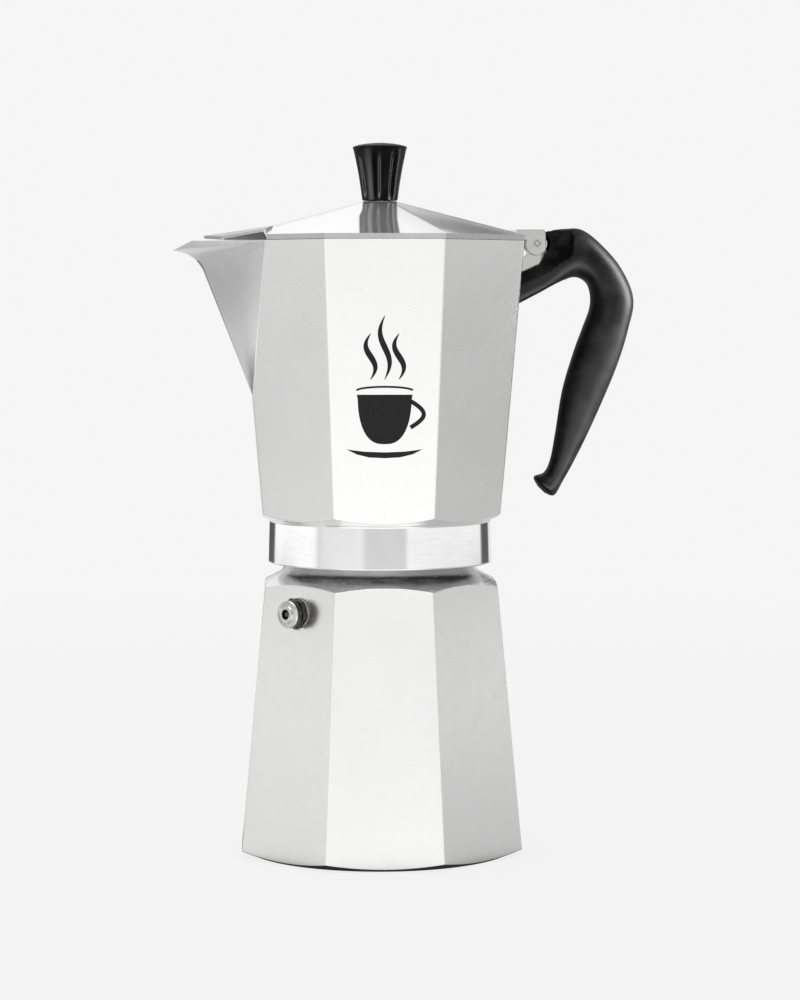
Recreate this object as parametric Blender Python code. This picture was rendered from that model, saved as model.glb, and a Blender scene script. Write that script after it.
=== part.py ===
"""A twelve-cup stovetop moka pot, as the separate pieces that it comes apart into.

The frame: origin on the pot's axis at the underside of the base, +Z up, +X towards the handle,
-X towards the spout. All dimensions below are in millimetres; meshes are scaled to metres.
"""
import math

import bmesh
import bpy
from mathutils import Matrix, Vector

MM = 0.001
GAP = 0.3                      # clearance between two pieces that touch
HALF_SECTOR = math.radians(22.5)

# Boiler
BASE_R = 54.4                  # flat round foot
BOILER_FOOT_R = 61.6           # octagon corner radius at the foot
BOILER_FOOT_Z = 3.1
BOILER_TOP_R = 51.0            # octagon corner radius under the shoulder
BOILER_TOP_Z = 110.0
NECK_R = 39.0
NECK_TOP_Z = 131.0
NECK_BORE_R = 35.0
BOILER_WALL = 4.0
BOILER_FLOOR = 4.5

# Screw thread between boiler and upper vessel
THREAD_PITCH = 4.0
THREAD_TURNS = 2.25
THREAD_START_Z = 120.6
CREST_CLEARANCE = 0.35

# Upper vessel
COLLAR_BOTTOM_Z = 118.8
COLLAR_R = 45.8
COLLAR_TOP_R = 45.3
COLLAR_BORE_R = 41.4
VESSEL_BASE_Z = 139.7
VESSEL_BASE_R = 52.2           # octagon corner radius at the vessel's base
RIM_Z = 250.0
RIM_R = 62.1                   # octagon corner radius at the rim
VESSEL_WALL = 3.0
CEILING_Z = 137.2              # underside of the vessel's floor
FLOOR_Z = 143.5                # top of the vessel's floor

# Spout
SPOUT_START_Z = 187.0
SPOUT_SHARE = 0.33             # where the spout's rim corner lies between two octagon corners
KEEL_SLOPE = 0.40
LIP_UNDERSIDE_Z = 246.0
LIP_BEND_R = 16.0
LIP_FLARE = 1.2                # how fast the lip runs outwards above its underside
LIP_CUT = ((77.0, 250.5), (85.5, 246.6))

# Column
COLUMN_SPIGOT_R = 6.7
COLUMN_TOP_Z = 226.0

# Basket and stem
BASKET_R = 34.4
BASKET_FLANGE_R = 38.6
BASKET_BOTTOM_Z = 98.0
SHEET = 1.2                    # sheet thickness of the basket
STEM_R = 6.0
STEM_END_Z = 14.0

# Lid
SKIRT_BOTTOM_Z = RIM_Z + GAP
SKIRT_TOP_Z = 252.2
LID_PLATE = 1.2
STEM_PLATE_R = 7.58            # corner radius of the knob's octagonal seat
PYRAMID_TOP_Z = 266.0
KNOB_SEAT_Z = 266.2
RIDGE_START_X = 40.8
BEAK_TIP_X = 71.8

# Hinge
PIN_X = 63.9
PIN_Z = 249.1
PIN_R = 1.5
EAR_R = 4.8
EAR_END_X = 67.6
EAR_OUTER_Y = 6.3
TONGUE_Y = 2.9
EAR_INNER_Y = TONGUE_Y + 0.4
ARM_TOP_Z = 254.6
EAR_SWEEP_R = 6.95             # circle that the ears' corners sweep

# Knob
KNOB_BOTTOM_Z = KNOB_SEAT_Z + GAP
KNOB_RIM_Z = 288.3
KNOB_FOOT_R = 7.2
KNOB_RIM_R = 11.1
KNOB_TOP_Z = 290.0
FLUTES = 8

# Safety valve, along its own axis: distances are from the pot's axis
VALVE_Z = 101.0
VALVE_DIRECTION = math.radians(225.0)
VALVE_SEAT = 47.4
VALVE_BORE_R = 2.8
VALVE_WASHER_THICKNESS = 0.8
VALVE_BODY_LOW = VALVE_SEAT + GAP + VALVE_WASHER_THICKNESS + GAP
VALVE_BODY_HIGH = VALVE_BODY_LOW + 4.6
VALVE_HEAD_R = 5.6

# Handle
HANDLE_SCREW_X = 73.0
NOTCH_X = 70.7                 # the lid's arm stops here when the lid is open
# (inner x, inner z, outer x, outer z, half width) of sections from the vessel to the tip
HANDLE_SECTIONS = (
    (53.5, 223.0, 60.0, 254.6, 8.5),
    (63.5, 228.2, 68.0, 254.4, 8.5),
    (72.4, 232.9, 75.5, 255.1, 8.8),
    (79.5, 235.4, 82.5, 254.8, 9.2),
    (84.3, 233.3, 90.0, 249.3, 9.6),
    (86.2, 228.6, 98.6, 239.4, 9.8),
    (86.0, 222.8, 103.9, 226.8, 9.8),
    (83.3, 215.1, 101.9, 214.2, 9.6),
    (79.4, 204.5, 97.8, 200.5, 9.2),
    (74.9, 189.0, 91.9, 185.9, 8.4),
    (72.1, 171.5, 84.6, 169.7, 7.4),
    (70.1, 160.8, 79.0, 158.6, 6.8),
    (67.6, 155.4, 75.4, 152.2, 7.0),
    (63.8, 153.9, 72.3, 146.6, 7.8),
    (62.7, 151.8, 69.9, 144.8, 6.8),
)


# ---------------------------------------------------------------- shapes

def clear_scene():
    for obj in list(bpy.data.objects):
        bpy.data.objects.remove(obj)


def finish(name, colour, roughness, metallic):
    """A Principled material."""
    made = bpy.data.materials.new(name)
    made.use_nodes = True
    shader = made.node_tree.nodes["Principled BSDF"]
    shader.inputs["Base Color"].default_value = (*colour, 1.0)
    shader.inputs["Roughness"].default_value = roughness
    shader.inputs["Metallic"].default_value = metallic
    made.diffuse_color = (*colour, 1.0)
    return made


def mesh_object(name, bm, material=None, matrix=None):
    """An object from a bmesh in millimetres."""
    bmesh.ops.recalc_face_normals(bm, faces=bm.faces)
    mesh = bpy.data.meshes.new(name)
    bm.to_mesh(mesh)
    bm.free()
    if matrix:
        mesh.transform(matrix)
    mesh.transform(Matrix.Scale(MM, 4))
    mesh.shade_smooth()
    mesh.set_sharp_from_angle(angle=math.radians(30))
    obj = bpy.data.objects.new(name, mesh)
    bpy.context.scene.collection.objects.link(obj)
    if material:
        mesh.materials.append(material)
    return obj


def put_origin(obj, point):
    """Moves the object's origin to a point in millimetres without moving its shape."""
    offset = Vector(point) * MM
    obj.data.transform(Matrix.Translation(-offset))
    obj.location = offset


def helper(name, bm, matrix=None):
    """A hidden tool for a Boolean."""
    obj = mesh_object(name, bm, matrix=matrix)
    obj.hide_render = True
    obj.display_type = "WIRE"
    return obj


def combine(obj, operation, *tools):
    """Adds one Boolean per tool: DIFFERENCE, UNION or INTERSECT."""
    for tool in tools:
        step = obj.modifiers.new(tool.name, "BOOLEAN")
        step.operation = operation
        step.solver = "EXACT"
        step.object = tool


def turned(outline, steps=48):
    """A closed (radius, height) outline turned about Z."""
    bm = bmesh.new()
    verts = [bm.verts.new((r, 0.0, z)) for r, z in outline]
    edges = []
    for a, b in zip(verts, verts[1:] + verts[:1]):
        if a.co.x > 0 or b.co.x > 0:
            edges.append(bm.edges.new((a, b)))
    bmesh.ops.spin(bm, geom=verts + edges, cent=(0, 0, 0), axis=(0, 0, 1), dvec=(0, 0, 0),
                   angle=math.tau, steps=steps, use_merge=True)
    bmesh.ops.remove_doubles(bm, verts=bm.verts, dist=1e-4)
    return bm


def loft(rings):
    """A closed body through rings of equally many points, with flat ends."""
    bm = bmesh.new()
    loops = [[bm.verts.new(point) for point in ring] for ring in rings]
    count = len(loops[0])
    for low, high in zip(loops, loops[1:]):
        for i in range(count):
            j = (i + 1) % count
            bm.faces.new((low[i], low[j], high[j], high[i]))
    bm.faces.new(loops[0])
    bm.faces.new(loops[-1])
    return bm


def prism(outline, half_width):
    """An (x, z) outline made as thick as twice half_width across Y."""
    return loft([[(x, y, z) for x, z in outline] for y in (-half_width, half_width)])


def box(low, high):
    (x0, y0, z0), (x1, y1, z1) = low, high
    return loft([[(x0, y0, z), (x1, y0, z), (x1, y1, z), (x0, y1, z)] for z in (z0, z1)])


def disc(radius, low, high, steps=24):
    return turned([(0, low), (radius, low), (radius, high), (0, high)], steps)


def arc(centre, radius, start, end, steps):
    """Points on a circle, angles in degrees."""
    points = []
    for i in range(steps + 1):
        angle = math.radians(start + (end - start) * i / steps)
        points.append((centre[0] + radius * math.cos(angle), centre[1] + radius * math.sin(angle)))
    return points


def along_y(centre_x, centre_z):
    """Turns a shape made along Z to lie along Y through (x, z)."""
    return Matrix.Translation((centre_x, 0, centre_z)) @ Matrix.Rotation(math.radians(90), 4, "X")


def screw_axis():
    """Where the handle's screw stands, upright."""
    return Matrix.Translation((HANDLE_SCREW_X, 0, 0))


def octagon(corner_radius):
    angles = [math.radians(22.5 + 45 * i) for i in range(8)]
    return [(corner_radius * math.cos(a), corner_radius * math.sin(a)) for a in angles]


def octagon_rings(stations):
    return [[(x, y, z) for x, y in octagon(r)] for r, z in stations]


def between(low, high, share):
    return low + (high - low) * share


def thread_ridge(root_r, crest_r, start_z, steps_per_turn=24):
    """A helical ridge from a radius inside the wall to its crest."""
    rings = []
    steps = int(THREAD_TURNS * steps_per_turn)
    for i in range(steps + 1):
        angle = math.tau * i / steps_per_turn
        z = start_z + THREAD_PITCH * i / steps_per_turn
        fade = min(1.0, 4.0 * i / steps_per_turn, 4.0 * (steps - i) / steps_per_turn)
        crest = between(root_r, crest_r, 0.5 + 0.5 * fade)
        section = ((root_r, z - 1.2), (crest, z - 0.5), (crest, z + 0.5), (root_r, z + 1.2))
        rings.append([(r * math.cos(angle), r * math.sin(angle), h) for r, h in section])
    return loft(rings)


# ---------------------------------------------------------------- boiler

def boiler_corner_radius(z):
    share = (z - BOILER_FOOT_Z) / (BOILER_TOP_Z - BOILER_FOOT_Z)
    return between(BOILER_FOOT_R, BOILER_TOP_R, share)


def make_boiler(material):
    """The octagon's taper, cut by a turned outline that gives the foot, shoulder and neck."""
    low, high = -2.0, NECK_TOP_Z + 2
    taper = octagon_rings([(boiler_corner_radius(z), z) for z in (low, high)])
    boiler = mesh_object("boiler", loft(taper), material)
    outline = [(0, 0), (BASE_R, 0), (66.0, 4.9), (66.0, 102.9), (47.1, 111.9), (40.7, 115.0),
               (39.4, 116.2), (NECK_R, 117.6), (NECK_R, NECK_TOP_Z), (0, NECK_TOP_Z)]
    combine(boiler, "INTERSECT", helper("boiler_outline", turned(outline)))
    wall = BOILER_WALL / math.cos(HALF_SECTOR)
    stations = [(boiler_corner_radius(z) - wall, z) for z in (BOILER_FLOOR, 100.0)]
    stations += [(NECK_BORE_R + 1.5, 113.0), (NECK_BORE_R + 0.2, 114.5)]
    cavity = octagon_rings(stations)
    combine(boiler, "DIFFERENCE", helper("boiler_cavity", loft(cavity)))
    combine(boiler, "DIFFERENCE", helper("neck_bore", disc(NECK_BORE_R, 108.0, NECK_TOP_Z + 3, 48)))
    ridge = thread_ridge(NECK_R - 0.5, NECK_R + 1.0, THREAD_START_Z)
    combine(boiler, "UNION", helper("neck_thread", ridge))
    seat = helper("valve_seat", disc(6.9, VALVE_SEAT, 60.0, 24), valve_matrix())
    hole = helper("valve_hole", disc(4.0, 35.0, 60.0, 16), valve_matrix())
    combine(boiler, "DIFFERENCE", seat, hole)
    return boiler


# ---------------------------------------------------------------- safety valve

def valve_matrix():
    """From the valve's own axis (+Z, measured from the pot's axis) to its place on the boiler."""
    turn = Matrix.Rotation(VALVE_DIRECTION, 4, "Z") @ Matrix.Rotation(math.radians(90), 4, "Y")
    return Matrix.Translation((0, 0, VALVE_Z)) @ turn


def valve_piece(name, bm, material):
    piece = mesh_object(name, bm, material, valve_matrix())
    seat = valve_matrix() @ Vector((0, 0, VALVE_SEAT))
    put_origin(piece, seat)
    return piece


def hexagon(corner_radius, low, high):
    points = [(corner_radius * math.cos(math.radians(60 * i)),
               corner_radius * math.sin(math.radians(60 * i))) for i in range(6)]
    return loft([[(x, y, z) for x, y in points] for z in (low, high)])


def make_valve_washer(material):
    low = VALVE_SEAT + GAP
    high = low + VALVE_WASHER_THICKNESS
    outline = [(4.1, low), (6.1, low), (6.1, high), (4.1, high)]
    return valve_piece("valve_washer", turned(outline, 24), material)


def make_valve_body(material):
    """Hexagon, groove, head and shank; the bore holds plunger and spring."""
    low, high = VALVE_BODY_LOW, VALVE_BODY_HIGH
    outline = [(0, 42.0), (3.7, 42.0), (3.7, low + 0.6), (5.0, low + 0.6), (5.0, low + 2.8),
               (VALVE_HEAD_R, low + 2.8), (VALVE_HEAD_R, high), (0, high)]
    body = valve_piece("valve_body", turned(outline, 24), material)
    combine(body, "UNION", helper("valve_hexagon", hexagon(6.4, low, low + 2.3), valve_matrix()))
    bore = [(0, 45.0), (VALVE_BORE_R, 45.0), (VALVE_BORE_R, 60.0), (0, 60.0)]
    inlet = [(0, 40.0), (1.6, 40.0), (1.6, 46.0), (0, 46.0)]
    combine(body, "DIFFERENCE",
            helper("valve_bore", turned(bore, 20), valve_matrix()),
            helper("valve_inlet", turned(inlet, 12), valve_matrix()))
    return body


def make_valve_cap(material):
    """Front disc with a raised ring round the hole that the plunger's pin looks through."""
    low = VALVE_BODY_HIGH + GAP
    outline = [(2.0, low), (VALVE_HEAD_R, low), (VALVE_HEAD_R, low + 0.5), (5.2, low + 0.9),
               (3.7, low + 0.9), (3.5, low + 1.8), (2.0, low + 1.8)]
    return valve_piece("valve_cap", turned(outline, 24), material)


def make_valve_seal(material):
    outline = [(0, 45.3), (2.4, 45.3), (2.4, 46.1), (0, 46.1)]
    return valve_piece("valve_seal", turned(outline, 20), material)


def make_valve_plunger(material):
    outline = [(0, 46.4), (2.4, 46.4), (2.4, 47.3), (1.2, 47.3), (1.2, 54.5), (0.8, 55.0), (0, 55.0)]
    return valve_piece("valve_plunger", turned(outline, 16), material)


def make_valve_spring(material):
    """A coil round the plunger's pin, shorter than its chamber by the plunger's travel."""
    turns, steps, wire = 4, 12, 0.24
    low, high, radius = 47.9, 51.9, 1.9
    rings = []
    for i in range(turns * steps + 1):
        angle = math.tau * i / steps
        z = between(low, high, i / (turns * steps))
        ring = []
        for k in range(5):
            side = math.tau * k / 5
            r = radius + wire * math.cos(side)
            ring.append((r * math.cos(angle), r * math.sin(angle), z + wire * math.sin(side)))
        rings.append(ring)
    return valve_piece("valve_spring", loft(rings), material)


# ---------------------------------------------------------------- basket, gasket, filter

def make_funnel(material):
    """Basket with a flange that rests on the neck, and a stem that reaches down into the water."""
    cone_z = BASKET_BOTTOM_Z - 12.0
    flange = NECK_TOP_Z + GAP
    outside = [(STEM_R, STEM_END_Z), (STEM_R, cone_z), (STEM_R + 2, cone_z + 3),
               (BASKET_R - 4, BASKET_BOTTOM_Z - 2), (BASKET_R, BASKET_BOTTOM_Z + 2),
               (BASKET_R, flange), (BASKET_FLANGE_R, flange)]
    inside = [(BASKET_FLANGE_R, flange + 1.0), (BASKET_R - SHEET, flange + 1.0),
              (BASKET_R - SHEET, BASKET_BOTTOM_Z + 2.4), (BASKET_R - 4.6, BASKET_BOTTOM_Z - 0.6),
              (STEM_R + 1.4, cone_z + 4.6), (STEM_R - SHEET, cone_z + 1), (STEM_R - SHEET, STEM_END_Z)]
    return mesh_object("funnel", turned(outside + inside, 36), material)


def perforated(name, radius, low, high, pitch, rings, hole_r, material):
    """A disc with six-sided holes on a triangular grid."""
    plate = mesh_object(name, disc(radius, low, high, 36), material)
    cutters = bmesh.new()
    for i in range(-rings, rings + 1):
        for j in range(-rings, rings + 1):
            if abs(i + j) > rings:
                continue
            x, y = pitch * (i + j / 2), pitch * j * math.sqrt(0.75)
            bmesh.ops.create_cone(cutters, cap_ends=True, segments=6, radius1=hole_r,
                                  radius2=hole_r, depth=8.0,
                                  matrix=Matrix.Translation((x, y, (low + high) / 2)))
    combine(plate, "DIFFERENCE", helper(name + "_holes", cutters))
    return plate


def make_gasket(material):
    low, high = NECK_TOP_Z + GAP + 1.0 + GAP, CEILING_Z - 0.8 - 2 * GAP - 0.1
    outline = [(35.0, low), (40.7, low), (41.0, low + 0.5), (41.0, high - 0.5), (40.7, high),
               (35.0, high)]
    return mesh_object("gasket", turned(outline, 36), material)


# ---------------------------------------------------------------- upper vessel

def vessel_corner_radius(z):
    return between(VESSEL_BASE_R, RIM_R, (z - VESSEL_BASE_Z) / (RIM_Z - VESSEL_BASE_Z))


def keel_reach(z):
    """Distance of the spout's keel from the pot's axis: straight, then a bend into the lip."""
    start = vessel_corner_radius(SPOUT_START_Z) * math.cos(HALF_SECTOR)
    slope_angle = math.atan(1 / KEEL_SLOPE)
    tangent = LIP_BEND_R * math.tan(slope_angle / 2)
    corner_x = start + KEEL_SLOPE * (LIP_UNDERSIDE_Z - SPOUT_START_Z)
    centre_x, centre_z = corner_x + tangent, LIP_UNDERSIDE_Z - LIP_BEND_R
    if z >= LIP_UNDERSIDE_Z:
        return centre_x + LIP_FLARE * (z - LIP_UNDERSIDE_Z)
    if z > LIP_UNDERSIDE_Z - tangent * math.sin(slope_angle):
        return centre_x - math.sqrt(LIP_BEND_R ** 2 - (z - centre_z) ** 2)
    return start + KEEL_SLOPE * (z - SPOUT_START_Z)


def spout_corner(z):
    """Where the spout's side meets the octagon's face, on a straight line from corner to rim."""
    low = octagon(vessel_corner_radius(SPOUT_START_Z))[3]
    rim = octagon(RIM_R)
    high = [between(rim[3][i], rim[2][i], SPOUT_SHARE) for i in (0, 1)]
    share = (min(z, RIM_Z) - SPOUT_START_Z) / (RIM_Z - SPOUT_START_Z)
    return [between(low[i], high[i], share) for i in (0, 1)]


def vessel_section(z, wall=0.0, lift=0.0, tip_steps=5):
    """The vessel's horizontal outline at height z, spout included, moved inwards by a wall."""
    radius = vessel_corner_radius(min(z, RIM_Z))
    outer = octagon(radius)
    inner = octagon(radius - wall / math.cos(HALF_SECTOR))
    if z <= SPOUT_START_Z:
        corner, keel, half_angle = outer[3], -outer[3][0], math.radians(90)
    else:
        corner, keel = spout_corner(z), keel_reach(min(z, RIM_Z) - lift)
        half_angle = math.atan2(corner[1], keel + corner[0])
    side = Vector((corner[0] + keel, corner[1])).normalized()
    keel -= wall / math.sin(half_angle)
    tip = Vector((-keel, 0))
    face_normal = Vector((-math.sqrt(0.5), math.sqrt(0.5)))
    face = radius * math.cos(HALF_SECTOR) - wall
    reach = (face - tip.dot(face_normal)) / side.dot(face_normal)
    meet = tip + side * reach
    soften = between(2.0, 5.0, max(0.0, min(1.0, (z - 236) / 14)))
    near, far = tip + side * soften, Vector((tip.x + side.x * soften, -side.y * soften))
    points = [inner[0], inner[1], inner[2], tuple(meet)]
    for i in range(tip_steps):
        s = i / (tip_steps - 1)
        curve = near * (1 - s) ** 2 + tip * 2 * s * (1 - s) + far * s ** 2
        points.append(tuple(curve))
    points += [(meet.x, -meet.y), inner[5], inner[6], inner[7]]
    return [(x, y, z) for x, y in points]


def spout_levels(top):
    """Heights at which the vessel's outline is set: closer together where the lip bends."""
    return [SPOUT_START_Z, 203, 219, 236, 239.5, 242.0, 244.0, 245.3, LIP_UNDERSIDE_Z, 248.0, top]


def lug_outline():
    """Side view of the cast lug under the hinge, from inside the wall to below the pin."""
    under_pin = arc((PIN_X, PIN_Z), EAR_R + 0.4, -68, -128, 6)
    return [(54.6, 236.6), (57.7, 237.7), (64.9, 240.8), (65.5, 242.3)] + under_pin + [
        (59.4, 244.0), (54.6, 243.4)]


def tongue_outline():
    """Side view of the middle knuckle that the pin goes through."""
    return [(60.4, 242.0), (66.0, 242.0)] + arc((PIN_X, PIN_Z), 4.1, -40, 195, 14)


def tang_outline():
    """Side view of the flat tang inside the handle."""
    return [(62.5, 240.2), (66.0, 239.4), (80.0, 240.6), (80.0, 246.0), (66.0, 246.0), (62.5, 243.6)]


def make_upper_body(material):
    """Collar, eight-sided walls, floor, spout, hinge lug and handle tang in one casting."""
    levels = [COLLAR_BOTTOM_Z - 3] + spout_levels(RIM_Z)
    body = mesh_object("upper_body", loft([vessel_section(z) for z in levels]), material)
    outline = [(0, COLLAR_BOTTOM_Z), (COLLAR_R, COLLAR_BOTTOM_Z), (COLLAR_TOP_R, 136.3),
               (48.2, 137.6), (VESSEL_BASE_R, VESSEL_BASE_Z), (110, 167.0), (110, 262), (0, 262)]
    combine(body, "INTERSECT", helper("vessel_outline", turned(outline)))
    (x0, z0), (x1, z1) = LIP_CUT
    slope = (z1 - z0) / (x1 - x0)
    lip = [(-76, z0 - slope), (-100, z0 + slope * (100 - x0)), (-100, 262), (-76, 262)]
    combine(body, "DIFFERENCE", helper("lip_cut", prism(lip, 30)))
    combine(body, "UNION", helper("hinge_lug", prism(lug_outline(), EAR_OUTER_Y)))
    tongue = helper("hinge_tongue", prism(tongue_outline(), TONGUE_Y))
    tang = helper("handle_tang", prism(tang_outline(), TONGUE_Y - 0.2))
    combine(body, "UNION", tongue, tang)
    rings = [vessel_section(FLOOR_Z, VESSEL_WALL)]
    for z in spout_levels(RIM_Z - 1) + [RIM_Z + 6]:
        wall = between(VESSEL_WALL, 2.0, max(0.0, min(1.0, (z - 230) / 16)))
        rings.append(vessel_section(z, wall, lift=1.1 if z > 230 else 0.0))
    combine(body, "DIFFERENCE", helper("vessel_cavity", loft(rings)))
    pin_hole = helper("tongue_pin_hole", disc(PIN_R + 0.2, -8, 8, 20), along_y(PIN_X, PIN_Z))
    screw_hole = helper("tang_screw_hole", disc(1.8, 236, 250, 12), screw_axis())
    combine(body, "DIFFERENCE", pin_hole, screw_hole)
    bore = [(0, COLLAR_BOTTOM_Z - 2), (COLLAR_BORE_R, COLLAR_BOTTOM_Z - 2),
            (COLLAR_BORE_R, CEILING_Z), (34.0, CEILING_Z), (7.0, 141.0), (0, 141.0)]
    combine(body, "DIFFERENCE", helper("column_hole", disc(7.0, 139.0, 146.0, 24)))
    combine(body, "DIFFERENCE", helper("collar_bore", turned(bore)))
    crest = NECK_R + 1.0 + CREST_CLEARANCE
    ridge = thread_ridge(COLLAR_BORE_R + 0.5, crest, THREAD_START_Z + THREAD_PITCH / 2)
    combine(body, "UNION", helper("collar_thread", ridge))
    return body


def make_column(material):
    """Tapered chimney with a spigot in the vessel's floor and two side openings at the top."""
    base = FLOOR_Z + GAP
    outside = [(COLUMN_SPIGOT_R, 141.4), (COLUMN_SPIGOT_R, base), (15.0, base), (15.0, base + 1.5),
               (9.5, base + 7), (8.0, base + 14), (6.6, COLUMN_TOP_Z - 6), (5.6, COLUMN_TOP_Z - 1.6),
               (3.2, COLUMN_TOP_Z), (0, COLUMN_TOP_Z)]
    inside = [(0, COLUMN_TOP_Z - 2.2), (4.4, COLUMN_TOP_Z - 3.4), (5.2, 150.0), (5.2, 141.4)]
    column = mesh_object("column", turned(outside + inside, 24), material)
    slot = box((-2.6, -12, COLUMN_TOP_Z - 12), (2.6, 12, COLUMN_TOP_Z - 5))
    combine(column, "DIFFERENCE", helper("column_slot", slot))
    return column


# ---------------------------------------------------------------- handle

def smooth(a, b, c, d, t):
    """Catmull-Rom between b and c."""
    return 0.5 * (2 * b + (c - a) * t + (2 * a - 5 * b + 4 * c - d) * t ** 2
                  + (3 * b - a - 3 * c + d) * t ** 3)


def handle_stations(steps=2):
    """The handle's sections, smoothly filled in between."""
    rows = [HANDLE_SECTIONS[0]] + list(HANDLE_SECTIONS) + [HANDLE_SECTIONS[-1]]
    stations = []
    for i in range(len(HANDLE_SECTIONS) - 1):
        for step in range(steps):
            t = step / steps
            stations.append([smooth(*(row[k] for row in rows[i:i + 4]), t) for k in range(5)])
    stations.append(list(HANDLE_SECTIONS[-1]))
    return stations


def make_handle(material):
    """Rounded sections from the vessel's wall to the tip, cut for lug, ears, tang and screw."""
    sides, squareness = 16, 0.8
    rings = []
    for inner_x, inner_z, outer_x, outer_z, width in handle_stations():
        centre = Vector(((inner_x + outer_x) / 2, (inner_z + outer_z) / 2))
        depth = Vector((outer_x - inner_x, outer_z - inner_z)) / 2
        ring = []
        for i in range(sides):
            angle = math.tau * (i + 0.5) / sides
            c, s = math.cos(angle), math.sin(angle)
            c = math.copysign(abs(c) ** squareness, c)
            s = math.copysign(abs(s) ** squareness, s)
            point = centre + depth * c
            ring.append((point.x, width * s, point.y))
        rings.append(ring)
    handle = mesh_object("handle", loft(rings), material)
    wall = [(vessel_corner_radius(z) * math.cos(HALF_SECTOR) + GAP, z) for z in (215, 262)]
    wall_outline = [(30, 215)] + wall + [(30, 262)]
    beside_lug = [(50, 237.3), (57.8, 237.3), (65.2, 240.5), (65.9, 242.1), (66.4, 243.4)]
    cheek = beside_lug + arc((PIN_X, PIN_Z), 5.2, -60, 45, 8) + [(67.9, 262), (50, 262)]
    pocket = beside_lug + arc((PIN_X, PIN_Z), EAR_SWEEP_R, -58, 12, 7) + [(NOTCH_X, 262), (50, 262)]
    socket = [(60, 239.0), (80.4, 240.2), (80.4, 246.4), (60, 246.4)]
    sink = [(0, 226), (4.0, 226), (4.0, 235.6), (1.9, 237.4), (1.9, 242), (0, 242)]
    combine(handle, "DIFFERENCE",
            helper("handle_wall_cut", prism(wall_outline, 20)),
            helper("handle_cheek_cut", prism(cheek, 14)),
            helper("handle_pocket", prism(pocket, EAR_OUTER_Y + 0.5)),
            helper("tang_socket", prism(socket, TONGUE_Y + 0.2)),
            helper("screw_sink", turned(sink, 20), screw_axis()))
    return handle


def make_handle_screw(material):
    """Countersunk screw from below into the tang, with a driver slot."""
    outline = [(0, 234.4), (3.6, 234.4), (3.6, 235.2), (1.5, 237.2), (1.5, 245.5), (0, 245.5)]
    screw = mesh_object("handle_screw", turned(outline, 20), material, screw_axis())
    slot = box((HANDLE_SCREW_X - 4, -0.5, 233.5), (HANDLE_SCREW_X + 4, 0.5, 235.1))
    combine(screw, "DIFFERENCE", helper("handle_screw_slot", slot))
    return screw


def make_hinge_pin(material):
    """Pin through ears and tongue, with small peened ends."""
    half = EAR_OUTER_Y + 0.25
    outline = [(0, -half), (1.1, -half), (PIN_R, -half + 0.4), (PIN_R, half - 0.4), (1.1, half),
               (0, half)]
    return mesh_object("hinge_pin", turned(outline, 20), material, along_y(PIN_X, PIN_Z))


# ---------------------------------------------------------------- lid

def lid_surface():
    """The lid's outer surface: seven and a half facets, the skirt, and the beak's gable."""
    rim, seat = octagon(RIM_R), octagon(STEM_PLATE_R)
    slope = (PYRAMID_TOP_Z - SKIRT_TOP_Z) / (rim[0][0] - seat[0][0])
    corner = [between(rim[3][i], rim[2][i], SPOUT_SHARE) for i in (0, 1)]
    hip_x = 43.65
    hip_z = SKIRT_TOP_Z + slope * (rim[0][0] - hip_x)
    ridge_z = SKIRT_TOP_Z + slope * (rim[0][0] - RIDGE_START_X)
    places = {"ridge": (-RIDGE_START_X, 0, ridge_z), "tip": (-BEAK_TIP_X, 0, 252.2)}
    for k in (0, 1, 2, 5, 6, 7):
        places["rim%d" % k] = (*rim[k], SKIRT_TOP_Z)
        places["foot%d" % k] = (*rim[k], SKIRT_BOTTOM_Z)
    for k in range(8):
        places["seat%d" % k] = (*seat[k], PYRAMID_TOP_Z)
    for side, y in (("L", 1), ("R", -1)):
        places["rim" + side] = (corner[0], y * corner[1], SKIRT_TOP_Z)
        places["foot" + side] = (corner[0], y * corner[1], SKIRT_BOTTOM_Z)
        places["hip" + side] = (-hip_x, y * hip_x * math.tan(HALF_SECTOR), hip_z)
        places["eave" + side] = (corner[0] - 0.4, y * (corner[1] - 0.5), 254.4)
        places["cheek" + side] = (-64.7, y * 7.5, 251.9)
    faces = [("rimL", "hipL", "seat3", "seat2", "rim2"), ("rim5", "seat5", "seat4", "hipR", "rimR"),
             ("hipL", "ridge", "hipR", "seat4", "seat3"),
             ("eaveL", "cheekL", "tip", "ridge"), ("ridge", "tip", "cheekR", "eaveR"),
             ("rimL", "eaveL", "ridge", "hipL"), ("ridge", "eaveR", "rimR", "hipR"),
             tuple("seat%d" % k for k in range(8))]
    for a, b in ((7, 0), (0, 1), (1, 2), (5, 6), (6, 7)):
        faces.append(("rim%d" % a, "rim%d" % b, "seat%d" % b, "seat%d" % a))
    for a, b in (("7", "0"), ("0", "1"), ("1", "2"), ("2", "L"), ("R", "5"), ("5", "6"), ("6", "7")):
        faces.append(("foot" + a, "foot" + b, "rim" + b, "rim" + a))
    bm = bmesh.new()
    verts = {name: bm.verts.new(place) for name, place in places.items()}
    for names in faces:
        bm.faces.new([verts[name] for name in names])
    return bm


def arm_outline():
    """Side view of the lid's hinge arm and ear."""
    top = [(49.0, ARM_TOP_Z), (49.0, 253.4), (56.0, 250.7), (59.3, 250.7)]
    ear = [(min(x, EAR_END_X), z) for x, z in arc((PIN_X, PIN_Z), EAR_R, 165, 360, 16)]
    return top + ear + [(EAR_END_X, 253.3), (66.8, ARM_TOP_Z)]


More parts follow.
